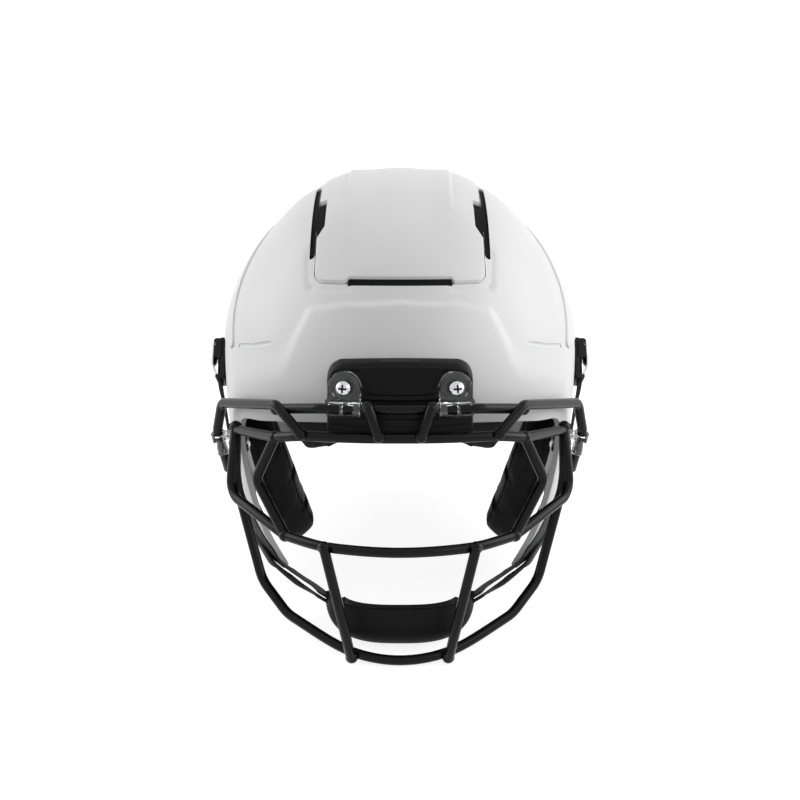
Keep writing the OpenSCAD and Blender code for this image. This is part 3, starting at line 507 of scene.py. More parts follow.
def bothSides(name, make, look, body, nodes, angle=35):
    # a left piece and its mirror image; body and nodes may hold "SIDE"
    for side, turn in (("left", None), ("right", flipX)):
        bm = make()
        if turn:
            bmesh.ops.transform(bm, matrix=turn, verts=bm.verts)
        piece = toObject(f"{name}_{side}", bm)
        settle(piece, look, body.replace("SIDE", side), [n.replace("SIDE", side) for n in nodes], angle)


# shell

shell = {
    "pole": Vector((0, 0.52, 0.854)).normalized(), "around": 14, "rows": 150, "innerRows": 30,
    "rimRound": 1.3,
    # rim from the middle of the brow round to the nape, left half
    "rim": [(0, -143, 9), (34, -137, 8), (62, -121, 2), (86, -97, -8), (101, -76, -17), (104, -71, -34),
            (99, -76, -62), (90, -82, -88), (80, -86, -110), (74, -79, -118), (90, -50, -107),
            (98, -20, -100),
            (101, 20, -96), (92, 75, -102), (56, 112, -110), (0, 127, -113)],
    # brow panel: its outer and inner outline from the middle to the temple, as x and z
    "bandOuter": [(0, 79.3), (34.6, 76.2), (57.7, 69.3), (60.3, 65.3), (66, 56.7), (76.5, 41), (88.9, 34.3),
                  (108.2, 21.6)],
    "bandInner": [(0, 76.4), (34.6, 73.7), (55.7, 67.4), (58.3, 63.3), (62.1, 55.7), (65.9, 47.8),
                  (69.8, 36.6),
                  (72.5, 29.9), (79.2, 22.5), (93.9, 15.1), (113.6, -1.6)],
    "bandProud": 1.8,
    "recess": 1.0, "recessWidth": 5.5,  # soft hollow round the front corners of the crown plate
    "groove": [(-58, 27.5), (-75, 34.5), (-90, 42.5)], "grooveRadius": 1.7, "grooveDepth": 0.8,
}
plates = {
    "thick": 3, "proud": 1.2, "free": 3.2, "gap": 1.2, "halfWidth": 54.5, "frontRadius": 98, "rearY": 88,
    "profile": [(-85, 1), (16, 0.955), (50, 0.90), (88, 0.80)],
    "notched": [(-85, 1), (-53, 0.985), (-46, 0.895), (-15.5, 0.875), (-14, 0.965), (16, 0.955), (50, 0.90),
                (88, 0.80)],
    "lastRow": -68, "ridge": 1.5, "ridgeShare": 0.64, "lip": 2.6, "lipHalf": 34, "corner": 5,
    "sideCorner": 0.16, "stemX": 30, "stemY": 49.4, "stemRadius": 3,
    "seen": 0.5,  # running gap as it is seen, narrower than the solids' gap
    "sideBottom": [(-55, 21), (-20, 17), (20, 14), (64, 12)],
    "sideTop": [(4, 66), (22, 74), (40, 77), (56, 74)],
    "sideMid": (12, 44), "sideHalf": (58, 32), "sideStems": [(-6, 34), (34, 52)],
}
pocketFloor = plates["proud"] - plates["thick"] - plates["free"]
pocketBack = pocketFloor - dome["wall"]


def roundCorner(a, b, r):
    # distances from two edges, moved so that a square corner becomes round with radius r
    if a >= r or b >= r:
        return a, b
    q = Vector((r - a, r - b))
    if q.length < 1e-6:
        return a, b
    q *= max(q) / q.length
    return r - q.x, r - q.y


def bandHeight(p):
    # how far the brow panel stands proud at a point: it slopes up between its two outlines
    x = abs(p.x)
    if p.y > 0 or x > 116:
        return 0
    outer = lookUp(x, shell["bandOuter"])
    inner = lookUp(x, shell["bandInner"])
    slope = min(1, max(0, (outer - p.z) / max(3.0, outer - inner)))
    return shell["bandProud"] * mix(slope, smooth(slope), 0.3) * smooth((116 - x) / 10)


def recessDepth(p):
    # hollow beside the front corners of the crown plate
    x = abs(p.x)
    if p.z < 60 or p.y > -45 or p.y < -110:
        return 0
    half = plates["halfWidth"] + 0.6
    side = x - half
    front = frontArc(min(x, half), 0.6) - p.y
    if side < -6 and front < -6:
        return 0
    apart = math.hypot(max(side, 0), max(front, 0)) if side > 0 and front > 0 else max(side, front)
    reach = smooth((-52 - p.y) / 10) * smooth((x - 30) / 6)
    return shell["recess"] * reach * (1 - smooth((apart - shell["recessWidth"] + 2.5) / 2.5))


def rimRing():
    half = [Vector(p) for p in shell["rim"]]
    ring = half + [mirrored(p) for p in reversed(half[1:-1])]
    n, steps = len(ring), int(shell["around"] * fine)
    return [curvePoint(ring[i - 1], ring[i], ring[(i + 1) % n], ring[(i + 2) % n], k / steps).normalized()
            for i in range(n) for k in range(steps)]


def buildShell():
    bm = bmesh.new()
    rim = rimRing()
    count = len(rim)

    def wall(rows, off):
        def place(u, v):
            i = round(u * count) % count
            p = onDome(slerp(shell["pole"], rim[i], v)) if v > 0 else onDome(shell["pole"])
            raised = shoulder(p.x, p.y) * smooth(p.z / 60)
            return p + domeNormal(p) * (off + raised + bandHeight(p) - recessDepth(p))
        made = addGrid(bm, count, rows, place)
        bmesh.ops.remove_doubles(bm, verts=made, dist=0.0005)

    wall(int(shell["rows"] * fine), 0)
    wall(int(shell["innerRows"]), -dome["wall"])
    bmesh.ops.bridge_loops(bm, edges=[e for e in bm.edges if e.is_boundary])
    bmesh.ops.recalc_face_normals(bm, faces=bm.faces)
    roundEdges(bm, shell["rimRound"], 3)
    return toObject("shell_body", bm)


def frontArc(x, grow):
    return -math.sqrt((plates["frontRadius"] + grow) ** 2 - x * x)


def crownPlace(off, profile, grow, ridged=False, columns=None, rows=None):
    # point of the crown plate's surface for shares across and along, front edge last
    last = plates["lastRow"]

    def ahead(x):
        # the plate itself, which has columns, draws back over the front slot
        back = plates["lip"] * smooth((plates["lipHalf"] - abs(x)) / 1.5) if columns else 0
        return frontArc(x, grow) + back

    def place(u, v):
        across = columns[round(u * (len(columns) - 1))] if columns else 2 * u - 1
        if rows:
            y = rows[round(v * (len(rows) - 1))]
        else:
            y = mix(plates["rearY"] + grow, last - 40, v)
        half = plates["halfWidth"] * lookUp(max(y, last - 10), profile) + grow
        x = across * half
        if y < last:
            y = mix(last, ahead(x), (last - y) / 40)
        edge = ahead(x)
        side, front = roundCorner(half - abs(x), y - edge, plates["corner"] + grow)
        x = math.copysign(half - side, x)
        y = edge + front
        side, rear = roundCorner(half - abs(x), plates["rearY"] + grow - y, plates["corner"] + grow)
        x = math.copysign(half - side, x)
        y = plates["rearY"] + grow - rear
        rise = 0
        if ridged:
            share = (plates["ridgeShare"] - abs(x) / plates["halfWidth"]) / 0.04
            rise = plates["ridge"] * smooth(share) * smooth((y + 44) / 34)
        return over(x, y, off + rise)
    return place


def sidePlace(off, grow):
    def along(points, t):
        x = t * (len(points) - 1)
        i = min(int(x), len(points) - 2)
        return mix(Vector(points[i]), Vector(points[i + 1]), x - i)

    def place(u, v):
        a, b = 2 * u - 1, 2 * v - 1
        r = plates["sideCorner"]
        inset = roundCorner(1 - abs(a), 1 - abs(b), r * 2)
        a, b = math.copysign(1 - inset[0], a), math.copysign(1 - inset[1], b)
        p = mix(along(plates["sideBottom"], (a + 1) / 2), along(plates["sideTop"], (a + 1) / 2), (b + 1) / 2)
        q = [plates["sideMid"][k] + (p[k] - plates["sideMid"][k]) * (1 + grow / plates["sideHalf"][k])
             for k in (0, 1)]
        return beside(q[0], q[1], off)
    return place


def slabObject(name, pieces):
    bm = bmesh.new()
    for columns, rows, top, bottom, mirror in pieces:
        made = addSlab(bm, columns, rows, top, bottom)
        if mirror:
            bmesh.ops.transform(bm, matrix=flipX, verts=made)
    return toObject(name, bm)


openings = {
    # low ends of a slot's two axes, the way along them, its radius and its segments
    "vent": ((56.4, -63, 60), (54.4, 21, 60), (0, 0, 65), 1.9, 24),
    "notch": ((52.4, -44, 60), (51.5, -18, 60), (0, 0, 65), 3, 24),
    "ear": ((90, 6, -46), (90, 16, -40), (40, 0, 0), 7, 40),
    "rear": ((26, 100, -28), (46, 90, -22), (0, 50, 0), 4, 32),
}
frontSlot = {"half": 33, "behind": -2.8, "ahead": 1.6, "low": 50, "high": 100}  # about the plate's front edge
holeRadius = {"clip": 2.9, "stud": 2.3, "valve": 4.7, "rearScrew": 2.0, "stem": plates["stemRadius"] + 0.1}


def shellCutters():
    # three cutters, because parts that lie close together in one spoil the cut
    first, second, third = bmesh.new(), bmesh.new(), bmesh.new()
    # point, normal, radius and depth of each hole
    drilled = [(clipSeat, clipNormal, holeRadius["clip"], 30)]
    for d, name, deep in ((sideClipSeat, "clip", 30), (upperStud, "stud", 12), (lowerStud, "stud", 12),
                          (valveSeat, "valve", 12), (rearScrew, "rearScrew", 12)):
        drilled.append((onDome(d), domeNormal(d), holeRadius[name], deep))
    for s in (-1, 1):
        def at(x, y, z):
            return Vector((x * s, y, z))
        for name, (a, b, way, r, segments) in openings.items():
            a, b, way = at(*a), at(*b), at(*way)
            addSlot(third if name == "notch" else first, (a, a + way), (b, b + way), r, segments)
        for y in (plates["stemY"], -plates["stemY"]):
            addRod(first, at(plates["stemX"], y, 80), at(plates["stemX"], y, 125), holeRadius["stem"])
        for y, z in plates["sideStems"]:
            addRod(first, at(80, y, z), at(125, y, z), holeRadius["stem"])
        for p, n, r, deep in drilled:
            addRod(second, at(*(p + n * 12)), at(*(p - n * deep)), r)
        # shallow groove that runs forward from the side plate
        route = [beside(y, z, shell["grooveRadius"] - shell["grooveDepth"]) for y, z in shell["groove"]]
        for a, b in zip(route, route[1:]):
            d = (b - a).normalized() * 0.3
            a, b = a - d, b + d
            addRod(third if a.y > -74 else first, at(*a), at(*b), shell["grooveRadius"], 20)

    def inSlot(z):
        def put(u, v):
            x = (2 * u - 1) * frontSlot["half"]
            return Vector((x, frontArc(x, mix(frontSlot["behind"], frontSlot["ahead"], v)), z))
        return put
    addSlab(first, 24, 1, inSlot(frontSlot["high"]), inSlot(frontSlot["low"]))
    return toObject("cutA", first), toObject("cutB", second), toObject("cutC", third)


# places that several pieces share
clipX, clipZ = 34, 34
sideClipSeat = Vector((110, -64, -42))
upperStud, lowerStud = Vector((119, 6, -11)), Vector((103, 22, -78))
valveSeat, rearScrew = Vector((22, 110, 76)), Vector((24, 125, -90))
bumper = {
    "width": 91, "top": 50, "reach": 147, "faceRadius": 160, "tilt": 18, "faceZ": 30, "crown": 460,
    # height of each step of its face, and how far it stands forward
    "steps": [(8, 0.4), (11, 0.4), (12, -0.8), (16, -0.8), (17, 0), (21, 0), (22, -0.8), (27, -0.8), (28, 0),
              (31, 0), (32, 0), (47, 0), (49, -0.4), (51, -2)],
    # rows of its mesh; the upper ones, from the shelf up, follow its curved top
    "rows": [8, 8.5, 9.5, 10.6, 11, 11.6, 12.2, 12.8, 15.2, 15.8, 16.4, 17, 17.6, 20.4, 21, 21.6, 22.2,
             22.8, 26.2, 26.8, 27.4, 28, 28.6, 30, 30.5, 30.9, 31.4, 32, 34, 37, 40, 43, 45.5, 46.6, 47,
             47.3, 47.6, 48.2, 49, 50, 50.6, 51],
    "shelf": 32,
    # columns near each end, as the distance from it and how far the top corner drops there
    "ends": [(0, 9), (0.7, 6.2), (2, 3.8), (2.8, 3), (3.4, 2.4), (4, 1.9), (4.6, 1.6), (5.4, 1.2),
             (7, 0.5), (9, 0)],
    "hollow": 1.5, "border": 3.6, "hollowLow": 30.5, "hollowHigh": 47.6, "edgeRound": (1.6, 1.8),
    "panel": (18, 26.5), "panelLow": 31.2, "panelHigh": 48, "panelProud": 1.2,
}


def bumperY(x, z):
    lean = (z - bumper["faceZ"]) * math.tan(math.radians(bumper["tilt"]))
    return x * x / (2 * bumper["faceRadius"]) + lean - bumper["reach"]


clipSeat = Vector((clipX, bumperY(clipX, clipZ), clipZ))
clipNormal = Vector((clipX / bumper["faceRadius"], -1, math.tan(math.radians(bumper["tilt"])))).normalized()
body = buildShell()
pocketProfile = plates["profile"]
walls = plates["gap"] + dome["wall"]
across, along = int(60 * fine), int(110 * fine)
grown = slabObject("grown", [
    (across, along, crownPlace(-0.5, pocketProfile, walls),
     crownPlace(pocketBack, pocketProfile, walls), False),
    (40, 24, sidePlace(-0.5, walls), sidePlace(pocketBack, walls), False),
    (40, 24, sidePlace(-0.5, walls), sidePlace(pocketBack, walls), True),
])
combine(body, grown, "UNION")
gap = plates["seen"]
pockets = slabObject("pockets", [
    (across, along, crownPlace(20, pocketProfile, gap), crownPlace(pocketFloor, pocketProfile, gap), False),
    (40, 24, sidePlace(20, gap / 2), sidePlace(pocketFloor, gap / 2), False),
    (40, 24, sidePlace(20, gap / 2), sidePlace(pocketFloor, gap / 2), True),
])
combine(body, pockets, "DIFFERENCE")
for cutter in shellCutters():
    combine(body, cutter, "DIFFERENCE")
settle(body, "shell", "helmet", ["shell"], angle=32, weighted=True)
print("shell cut,", len(body.data.polygons), "faces")


# floating plates

def crownPlate():
    bm = bmesh.new()
    kinks = [y for y, share in plates["notched"] if plates["lastRow"] < y < 0]
    rows = [plates["rearY"]] + [plates["rearY"] - 1.8 * i for i in range(1, 90)]
    rows = [y for y in rows if y > plates["lastRow"] and min(abs(y - kink) for kink in kinks) > 0.8]
    rows = sorted(rows + kinks + [plates["lastRow"]], reverse=True)
    rows += [plates["lastRow"] - 40 * k / 14 for k in range(1, 15)]
    columns = [k / 44 - 1 for k in range(89)]
    top = crownPlace(plates["proud"], plates["notched"], 0, True, columns, rows)
    under = crownPlace(plates["proud"] - plates["thick"], plates["notched"], 0, False, columns, rows)
    addSlab(bm, len(columns) - 1, len(rows) - 1, top, under)
    bmesh.ops.recalc_face_normals(bm, faces=bm.faces)
    roundEdges(bm, 0.7, 2)
    for x in (-1, 1):
        for y in (-1, 1):
            a = over(plates["stemX"], y * plates["stemY"], pocketBack - 1)
            b = over(plates["stemX"], y * plates["stemY"], plates["proud"] - 1)
            addRod(bm, (a.x * x, a.y, a.z), (b.x * x, b.y, b.z), plates["stemRadius"])
    return toObject("crown_plate_shaped", bm)


settle(crownPlate(), "shell", "crown_plate", ["crown_plate"], angle=32)


def sidePlate():
    bm = bmesh.new()
    addSlab(bm, 44, 26, sidePlace(plates["proud"], 0), sidePlace(plates["proud"] - plates["thick"], 0))
    bmesh.ops.recalc_face_normals(bm, faces=bm.faces)
    roundEdges(bm, 0.7, 2)
    for y, z in plates["sideStems"]:
        addRod(bm, beside(y, z, pocketBack - 1), beside(y, z, plates["proud"] - 1), plates["stemRadius"])
    return bm


bothSides("side_plate_shaped", sidePlate, "shell", "side_plate_SIDE", ["side_plate_SIDE"], angle=32)
print("plates made")


# face guard

guard = {"radius": 3.3, "bend": 10, "bead": 4.1,
         "softSpan": {"mask_mouth_bar": 62, "mask_chin_bar": 66, "mask_lower_brow_bar": 50,
                      "mask_upper_brow_bar": 40}}
weld = {
    "brow": Vector((78, -128, 13.5)), "strut": Vector((62, -148, 4)), "eye": Vector((79, -131, -5)),
    "temple": Vector((108, -78, -24)), "cheek": Vector((73, -152, -64)),
}
arm = [(122.5, -54, -36), (116.5, -44, -70)]
wires = {
    # points with their bend radius; True where a wire crosses the middle
    "mask_upper_brow_bar": (True, [(0, -154, 24.5), (50, -148.5, 22.8, 12), weld["brow"]]),
    "mask_lower_brow_bar": (True, [(0, -160, 7.5), (31, -157, 6.5, 60), (*weld["strut"], 40),
                                   (*weld["eye"], 40), weld["temple"]]),
    "mask_brow_struts": (False, [(20, -157.5, 29), (13.3, -163.5, 10)]),
    "mask_side_loop": (False, [weld["strut"] + Vector((0, -3.5, 3)), (78, -131, 17.5, 6), (118, -62, -12, 9),
                               (*arm[0], 20), arm[1]]),
    "mask_sweep": (False, [weld["temple"] + Vector((0, 0, 4)), (112, -92, -64, 14), weld["cheek"]]),
    "mask_mouth_bar": (True, [(0, -190, -57), (27, -185, -58, 90), (50, -173, -61, 40), (*weld["cheek"], 8),
                              (92, -130, -35, 7), weld["eye"]]),
    "mask_chin_bar": (True, [(0, -177, -143), (32, -168, -142, 50), (74, -130, -133, 26),
                             (91, -112, -118, 26),
                             (109, -81, -60, 40), (108, -79, -27)]),
    "mask_chin_struts": (False, [(47.6, -180.2, -57), (31, -171.8, -143.5)]),
}
beads = {
    "mask_upper_brow_bar": [weld["brow"]],
    "mask_side_loop": [weld["strut"] + Vector((0, -2, 2))],
    "mask_mouth_bar": [weld["eye"]],
    "mask_sweep": [weld["temple"] + Vector((0, 0, 2)), weld["cheek"]],
    "mask_brow_struts": [Vector((20, -156, 27)), Vector((13.3, -162, 10))],
    "mask_chin_struts": [Vector((47.6, -178, -59)), Vector((31, -171, -142))],
}


def roundedRoute(points):
    route = []
    last = len(points) - 1
    for i, p in enumerate(points):
        b = Vector(p[:3])
        radius = p[3] if len(p) > 3 else 0
        if i in (0, last) or radius == 0:
            route.append(b)
            continue
        a, c = Vector(points[i - 1][:3]), Vector(points[i + 1][:3])
        u, v = (b - a).normalized(), (c - b).normalized()
        turn = u.angle(v)
        out = (v - u * u.dot(v)).normalized()
        start = b - u * radius * math.tan(turn / 2)
        for k in range(guard["bend"] + 1):
            w = turn * k / guard["bend"]
            route.append(start + out * radius * (1 - math.cos(w)) + u * radius * math.sin(w))
    return route


def softened(route, span, step=2.5, passes=60):
    # long gentle bends between the tight ones: points nearer the middle than span are evened out
    points = [route[0]]
    for a, b in zip(route, route[1:]):
        n = max(1, round((b - a).length / step))
        points += [a.lerp(b, k / n) for k in range(1, n + 1)]
    for turn in range(passes):
        moved = list(points)
        for i in range(1, len(points) - 1):
            share = 0.5 * smooth((span - abs(points[i].x)) / 8)
            moved[i] = points[i].lerp((points[i - 1] + points[i + 1]) / 2, share)
        points = moved
    return points


def wireCurve(name, routes, balls):
    data = bpy.data.curves.new(name, "CURVE")
    data.dimensions = "3D"
    data.bevel_depth = guard["radius"]
    data.bevel_resolution = 5
    data.use_fill_caps = True
    for route in routes:
        # the last millimetre of each end is rounded off
        first, final = (route[1] - route[0]).normalized(), (route[-2] - route[-1]).normalized()
        ends = [(0, 0.72), (0.35, 0.9), (1.0, 1.0)]
        points = [(route[0] + first * d, r) for d, r in ends] + [(p, 1) for p in route[1:-1]]
        points += [(route[-1] + final * d, r) for d, r in reversed(ends)]
        spline = data.splines.new("POLY")
        spline.points.add(len(points) - 1)
        for target, (p, r) in zip(spline.points, points):
            target.co = (*p, 1)
            target.radius = r
    drawn = bpy.data.objects.new(name + "_curve", data)
    scene.collection.objects.link(drawn)
    mesh = bpy.data.meshes.new_from_object(drawn.evaluated_get(bpy.context.evaluated_depsgraph_get()))
    bm = bmesh.new()
    bm.from_mesh(mesh)
    for p in balls:
        bmesh.ops.create_icosphere(bm, subdivisions=3, radius=guard["bead"], matrix=Matrix.Translation(p))
    bpy.data.objects.remove(drawn)
    bpy.data.meshes.remove(mesh)
    return toObject(name + "_bent", bm)


for name, (crosses, points) in wires.items():
    route = roundedRoute(points)
    balls = beads.get(name, [])
    if crosses:
        whole = softened([mirrored(p) for p in reversed(route[1:])] + route, guard["softSpan"].get(name, 0))
        piece = wireCurve(name, [whole], balls + [mirrored(p) for p in balls])
        settle(piece, "wire", "helmet", [name], angle=60)
    elif name.endswith("struts"):
        piece = wireCurve(name, [route, [mirrored(p) for p in route]], balls + [mirrored(p) for p in balls])
        settle(piece, "wire", "helmet", [name], angle=60)
    else:
        piece = wireCurve(name + "_left", [route], balls)
        settle(piece, "wire", "helmet", [name + "_left"], angle=60)
        piece = wireCurve(name + "_right", [[mirrored(p) for p in route]], [mirrored(p) for p in balls])
        settle(piece, "wire", "helmet", [name + "_right"], angle=60)
print("face guard bent")


# clear clips that hold the guard in front

clip = {"radius": 10.5, "half": 10.1, "foot": 17.6, "thick": 5.2, "lip": 1.3, "hole": 2.65, "gap": 0.3,
        "ringOut": 9.0, "ringIn": 7.2, "ringTop": 6.6, "ringFloor": 4.9, "boxHalf": 8.8, "boxTop": 7.6,
        "boxLow": -17.2, "boxHigh": -8.6, "wall": 2.4, "loop": 3.45,
        "lug": ((8, -12.5, 1.2), (11.6, -7.5, 4.6)), "pocket": ((0.7, -15.8, 2.6), (7.6, -10, 12))}
browBar = wires["mask_upper_brow_bar"][1]


def solid(bm):
    bmesh.ops.recalc_face_normals(bm, faces=bm.faces)
    return toObject("part", bm)


def frontClip():
    place = frameAt(clipSeat + clipNormal * clip["gap"], clipNormal)
    a, b = Vector(browBar[0]), Vector(browBar[1][:3])
    loop = a.lerp(b, clipX / b.x)
    way = (b - a).normalized()
    bm = bmesh.new()
    corners = [(clip["radius"] * math.cos(math.pi * k / 40), clip["radius"] * math.sin(math.pi * k / 40))
               for k in range(41)] + [(-clip["half"], -clip["foot"]), (clip["half"], -clip["foot"])]
    outline = [bm.verts.new((x, y, 0)) for x, y in corners]
    face = bm.faces.new(outline)
    raised = bmesh.ops.extrude_face_region(bm, geom=[face])["geom"]
    top = [v for v in raised if isinstance(v, bmesh.types.BMVert)]
    bmesh.ops.translate(bm, verts=top, vec=(0, 0, clip["thick"]))
    lip = [e for v in top for e in v.link_edges if all(w in set(top) for w in e.verts)]
    bmesh.ops.bevel(bm, geom=list(set(lip)), offset=clip["lip"], segments=4, affect="EDGES", profile=0.5,
                    material=-1)
    bmesh.ops.transform(bm, matrix=place, verts=bm.verts)
    made = solid(bm)

    def added(build, operation, rounding=0):
        part = bmesh.new()
        build(part)
        if rounding:
            bmesh.ops.recalc_face_normals(part, faces=part.faces)
            roundEdges(part, rounding, 3, 50)
        bmesh.ops.transform(part, matrix=place, verts=part.verts)
        combine(made, solid(part), operation)

    added(lambda m: addRod(m, (0, 0, 2), (0, 0, clip["ringTop"]), clip["ringOut"], 48), "UNION", 0.7)
    added(lambda m: addBlock(m, (-clip["boxHalf"], clip["boxLow"], 1),
                             (clip["boxHalf"], clip["boxHigh"], clip["boxTop"])), "UNION", 0.9)
    (x0, y0, z0), (x1, y1, z1) = clip["lug"]
    for s in (-1, 1):  # lugs that spring over the wire
        added(lambda m: addBlock(m, (s * x0, y0, z0), (s * x1, y1, z1)), "UNION", 0.8)
    barrel = bmesh.new()
    reach = way * (clip["radius"] - 1)
    addRod(barrel, loop - reach, loop + reach, clip["loop"] + clip["wall"], 40)
    bmesh.ops.recalc_face_normals(barrel, faces=barrel.faces)
    roundEdges(barrel, 0.8, 3, 50)
    combine(made, solid(barrel), "UNION")
    (x2, y2, z2), (x3, y3, z3) = clip["pocket"]
    for s in (-1, 1):  # pockets between the ribs
        added(lambda m: addBlock(m, (min(s * x2, s * x3), y2, z2), (max(s * x2, s * x3), y3, z3)),
              "DIFFERENCE")
    added(lambda m: addRod(m, (0, 0, clip["ringFloor"]), (0, 0, 12), clip["ringIn"], 48), "DIFFERENCE")
    added(lambda m: addRod(m, (0, 0, -3), (0, 0, 12), clip["hole"], 32), "DIFFERENCE")
    added(lambda m: addBlock(m, (-40, -60, -30), (40, 60, 0)), "DIFFERENCE")
    bore = bmesh.new()
    addRod(bore, loop - way * 30, loop + way * 30, clip["loop"], 40)
    combine(made, solid(bore), "DIFFERENCE")
    bm = bmesh.new()
    bm.from_mesh(made.data)
    bpy.data.objects.remove(made)
    return bm


bothSides("front_clip_moulded", frontClip, "clip", "helmet", ["front_clip_SIDE"], 30)

# painted shade: a thin dark slab at the floor of each front screw's cross recess
cross = {"seat": 6.45, "arm": 2.55, "half": 0.58, "floor": 1.12, "deep": 0.3}


def crossShade():
    # thin dark slab painted as shade on the floor of the cross in a front screw's head
    place = frameAt(clipSeat + clipNormal * cross["seat"], clipNormal)
    bm = bmesh.new()
    arms = ((cross["arm"], cross["half"], cross["deep"]), (cross["half"], cross["arm"], cross["deep"] * 0.9))
    for x, y, deep in arms:
        addBlock(bm, (-x, -y, cross["floor"]), (x, y, cross["floor"] + deep), place)
    bmesh.ops.recalc_face_normals(bm, faces=bm.faces)
    return bm


bothSides("front_screw_cross", crossShade, "stop", "front_screw_SIDE", [], 30)
print("front clips made")


# bumpers

def noseBumper():
    bm = bmesh.new()
    w = bumper["width"] / 2
    ends = [(w - c, d) for c, d in reversed(bumper["ends"])]
    flat = w - bumper["ends"][-1][0]
    xs = [(k * flat / 30, 0) for k in range(30)] + ends
    xs = [(-x, d) for x, d in reversed(xs[1:])] + xs
    heights, shelf = bumper["rows"], bumper["shelf"]

    def level(h, x, drop):
        # top edge falls to the sides by as much as the face runs back there
        top = bumper["top"] - drop - x * x / bumper["crown"]
        return h if h < shelf else mix(shelf, top, (h - shelf) / (heights[-1] - shelf))

    def face(u, v):
        x, drop = xs[round(u * (len(xs) - 1))]
        h = heights[round(v * (len(heights) - 1))]
        z = level(h, x, drop)
        back, width = bumper["edgeRound"]
        edge = back * (1 - math.sqrt(1 - min(1, max(0, (abs(x) - (w - width)) / width)) ** 2))
        # hollow round the clips, inside a border
        rim = min(w - bumper["border"] - abs(x), bumper["hollowHigh"] - h, h - bumper["hollowLow"])
        hollow = bumper["hollow"] * smooth(rim / 0.8)
        return Vector((x, bumperY(x, z) - lookUp(h, bumper["steps"]) + edge + hollow, z))

    def rest(u, v):
        x, drop = xs[round(u * (len(xs) - 1))]
        z = level(heights[round(v * (len(heights) - 1))], x, drop)
        return before(x, z, shell["bandProud"] + 0.5)

    addSlab(bm, len(xs) - 1, len(heights) - 1, face, rest)
    bmesh.ops.recalc_face_normals(bm, faces=bm.faces)
    roundEdges(bm, 0.3, 2, 60)
    return toObject("nose_bumper_moulded", bm)


def bumperFace():
    # raised face between the clips
    bm = bmesh.new()

    def place(off):
        def put(u, v):
            z = mix(bumper["panelLow"], bumper["panelHigh"], v)
            x = (2 * u - 1) * mix(*bumper["panel"], v)
            z -= x * x / bumper["crown"] * v
            return Vector((x, bumperY(x, z) + off, z))
        return put
    addSlab(bm, 30, 8, place(-bumper["panelProud"]), place(2.4))
    bmesh.ops.recalc_face_normals(bm, faces=bm.faces)
    roundEdges(bm, 0.5, 3)
    return toObject("nose_bumper_face", bm)


settle(noseBumper(), "bumper", "helmet", ["nose_bumper"], angle=40)
settle(bumperFace(), "face", "helmet", [], angle=40)


rearBlock = {"half": 36, "low": -112, "high": -74, "gap": 0.6, "thick": 4.5, "edge": 2, "ribEvery": 12,
             "ribDeep": 0.8}


def rearBumper():
    bm = bmesh.new()
    middle = (rearBlock["low"] + rearBlock["high"]) / 2

    def place(low):
        def put(u, v):
            x, z = (2 * u - 1) * rearBlock["half"], mix(rearBlock["low"], rearBlock["high"], v)
            inset = min(rearBlock["half"] - abs(x), z - rearBlock["low"], rearBlock["high"] - z)
            inRib = abs((z - middle) % rearBlock["ribEvery"] - rearBlock["ribEvery"] / 2) < 1 and inset > 5
            lift = rearBlock["thick"] - rearBlock["edge"] * (1 - smooth(inset / 4))
            lift -= rearBlock["ribDeep"] if inRib else 0
            return onDome((x, 125, z), rearBlock["gap"] if low else rearBlock["gap"] + lift)
        return put
    addSlab(bm, 60, 48, place(False), place(True))
    bmesh.ops.recalc_face_normals(bm, faces=bm.faces)
    roundEdges(bm, 0.4, 2, 60)
    return toObject("rear_bumper_moulded", bm)


settle(rearBumper(), "bumper", "helmet", ["rear_bumper"], angle=40)
print("bumpers made")


# buckles and their levers

buckle = {"length": 29, "width": 25, "base": 3, "gap": 0.3, "cheek": 1.8, "pinX": -9.5, "pinZ": 7.3,
          "pin": 1.3, "eye": 2, "lever": 22, "strap": 1.6, "bow": 1.2, "cheekTop": 7.6, "corner": 2.5,
          "cheekRound": 2.2, "gate": 2.4, "thumb": 2.2, "thumbFrom": 0.6}
runs = {"upper": (upperStud, Vector((-25, -62, -78))), "lower": (lowerStud, Vector((-20, -90, -62)))}


def buckleFrame(which):
    stud, run = runs[which]
    n = domeNormal(stud)
    return frameAt(onDome(stud) + n * buckle["gap"], n, run)


def buckleBody(which):
    def make():
        bm = bmesh.new()
        place = buckleFrame(which)
        half, wide = buckle["length"] / 2, buckle["width"] / 2
        base = addBlock(bm, (-half, -wide, 0), (half, wide, buckle["base"]))
        upright = [e for v in base for e in v.link_edges if abs(e.verts[0].co.z - e.verts[1].co.z) > 1]
        bmesh.ops.bevel(bm, geom=list(set(upright)), offset=buckle["corner"], segments=5, affect="EDGES",
                        profile=0.5, material=-1)
        t = buckle["cheek"] / 2
        webTop = buckle["base"] + buckle["strap"]  # the webbing passes under the gate
        for s in (-1, 1):
            y = s * (wide - t)
            cheek = addBlock(bm, (-half + 1, y - t, 1), (0, y + t, buckle["cheekTop"] + 0.4))
            corner = {e for v in cheek for e in v.link_edges
                      if abs(e.verts[0].co.y - e.verts[1].co.y) > 1 and e.verts[0].co.z > 5}
            bmesh.ops.bevel(bm, geom=list(corner), offset=buckle["cheekRound"], segments=5, affect="EDGES",
                            profile=0.5, material=-1)
            addBlock(bm, (half - buckle["gate"], y - t, 1), (half - 0.1, y + t, webTop + 1.6))
        addBlock(bm, (half - buckle["gate"], -wide + 0.3, webTop + 0.7), (half, wide - 0.3, webTop + 1.9))
        addRod(bm, (0, 0, 0.1), (0, 0, buckle["base"] + 0.5), 6.2, 40, 5.4)
        roundEdges(bm, 0.35, 2, 50)
        bmesh.ops.transform(bm, matrix=place, verts=bm.verts)
        return bm
    return make


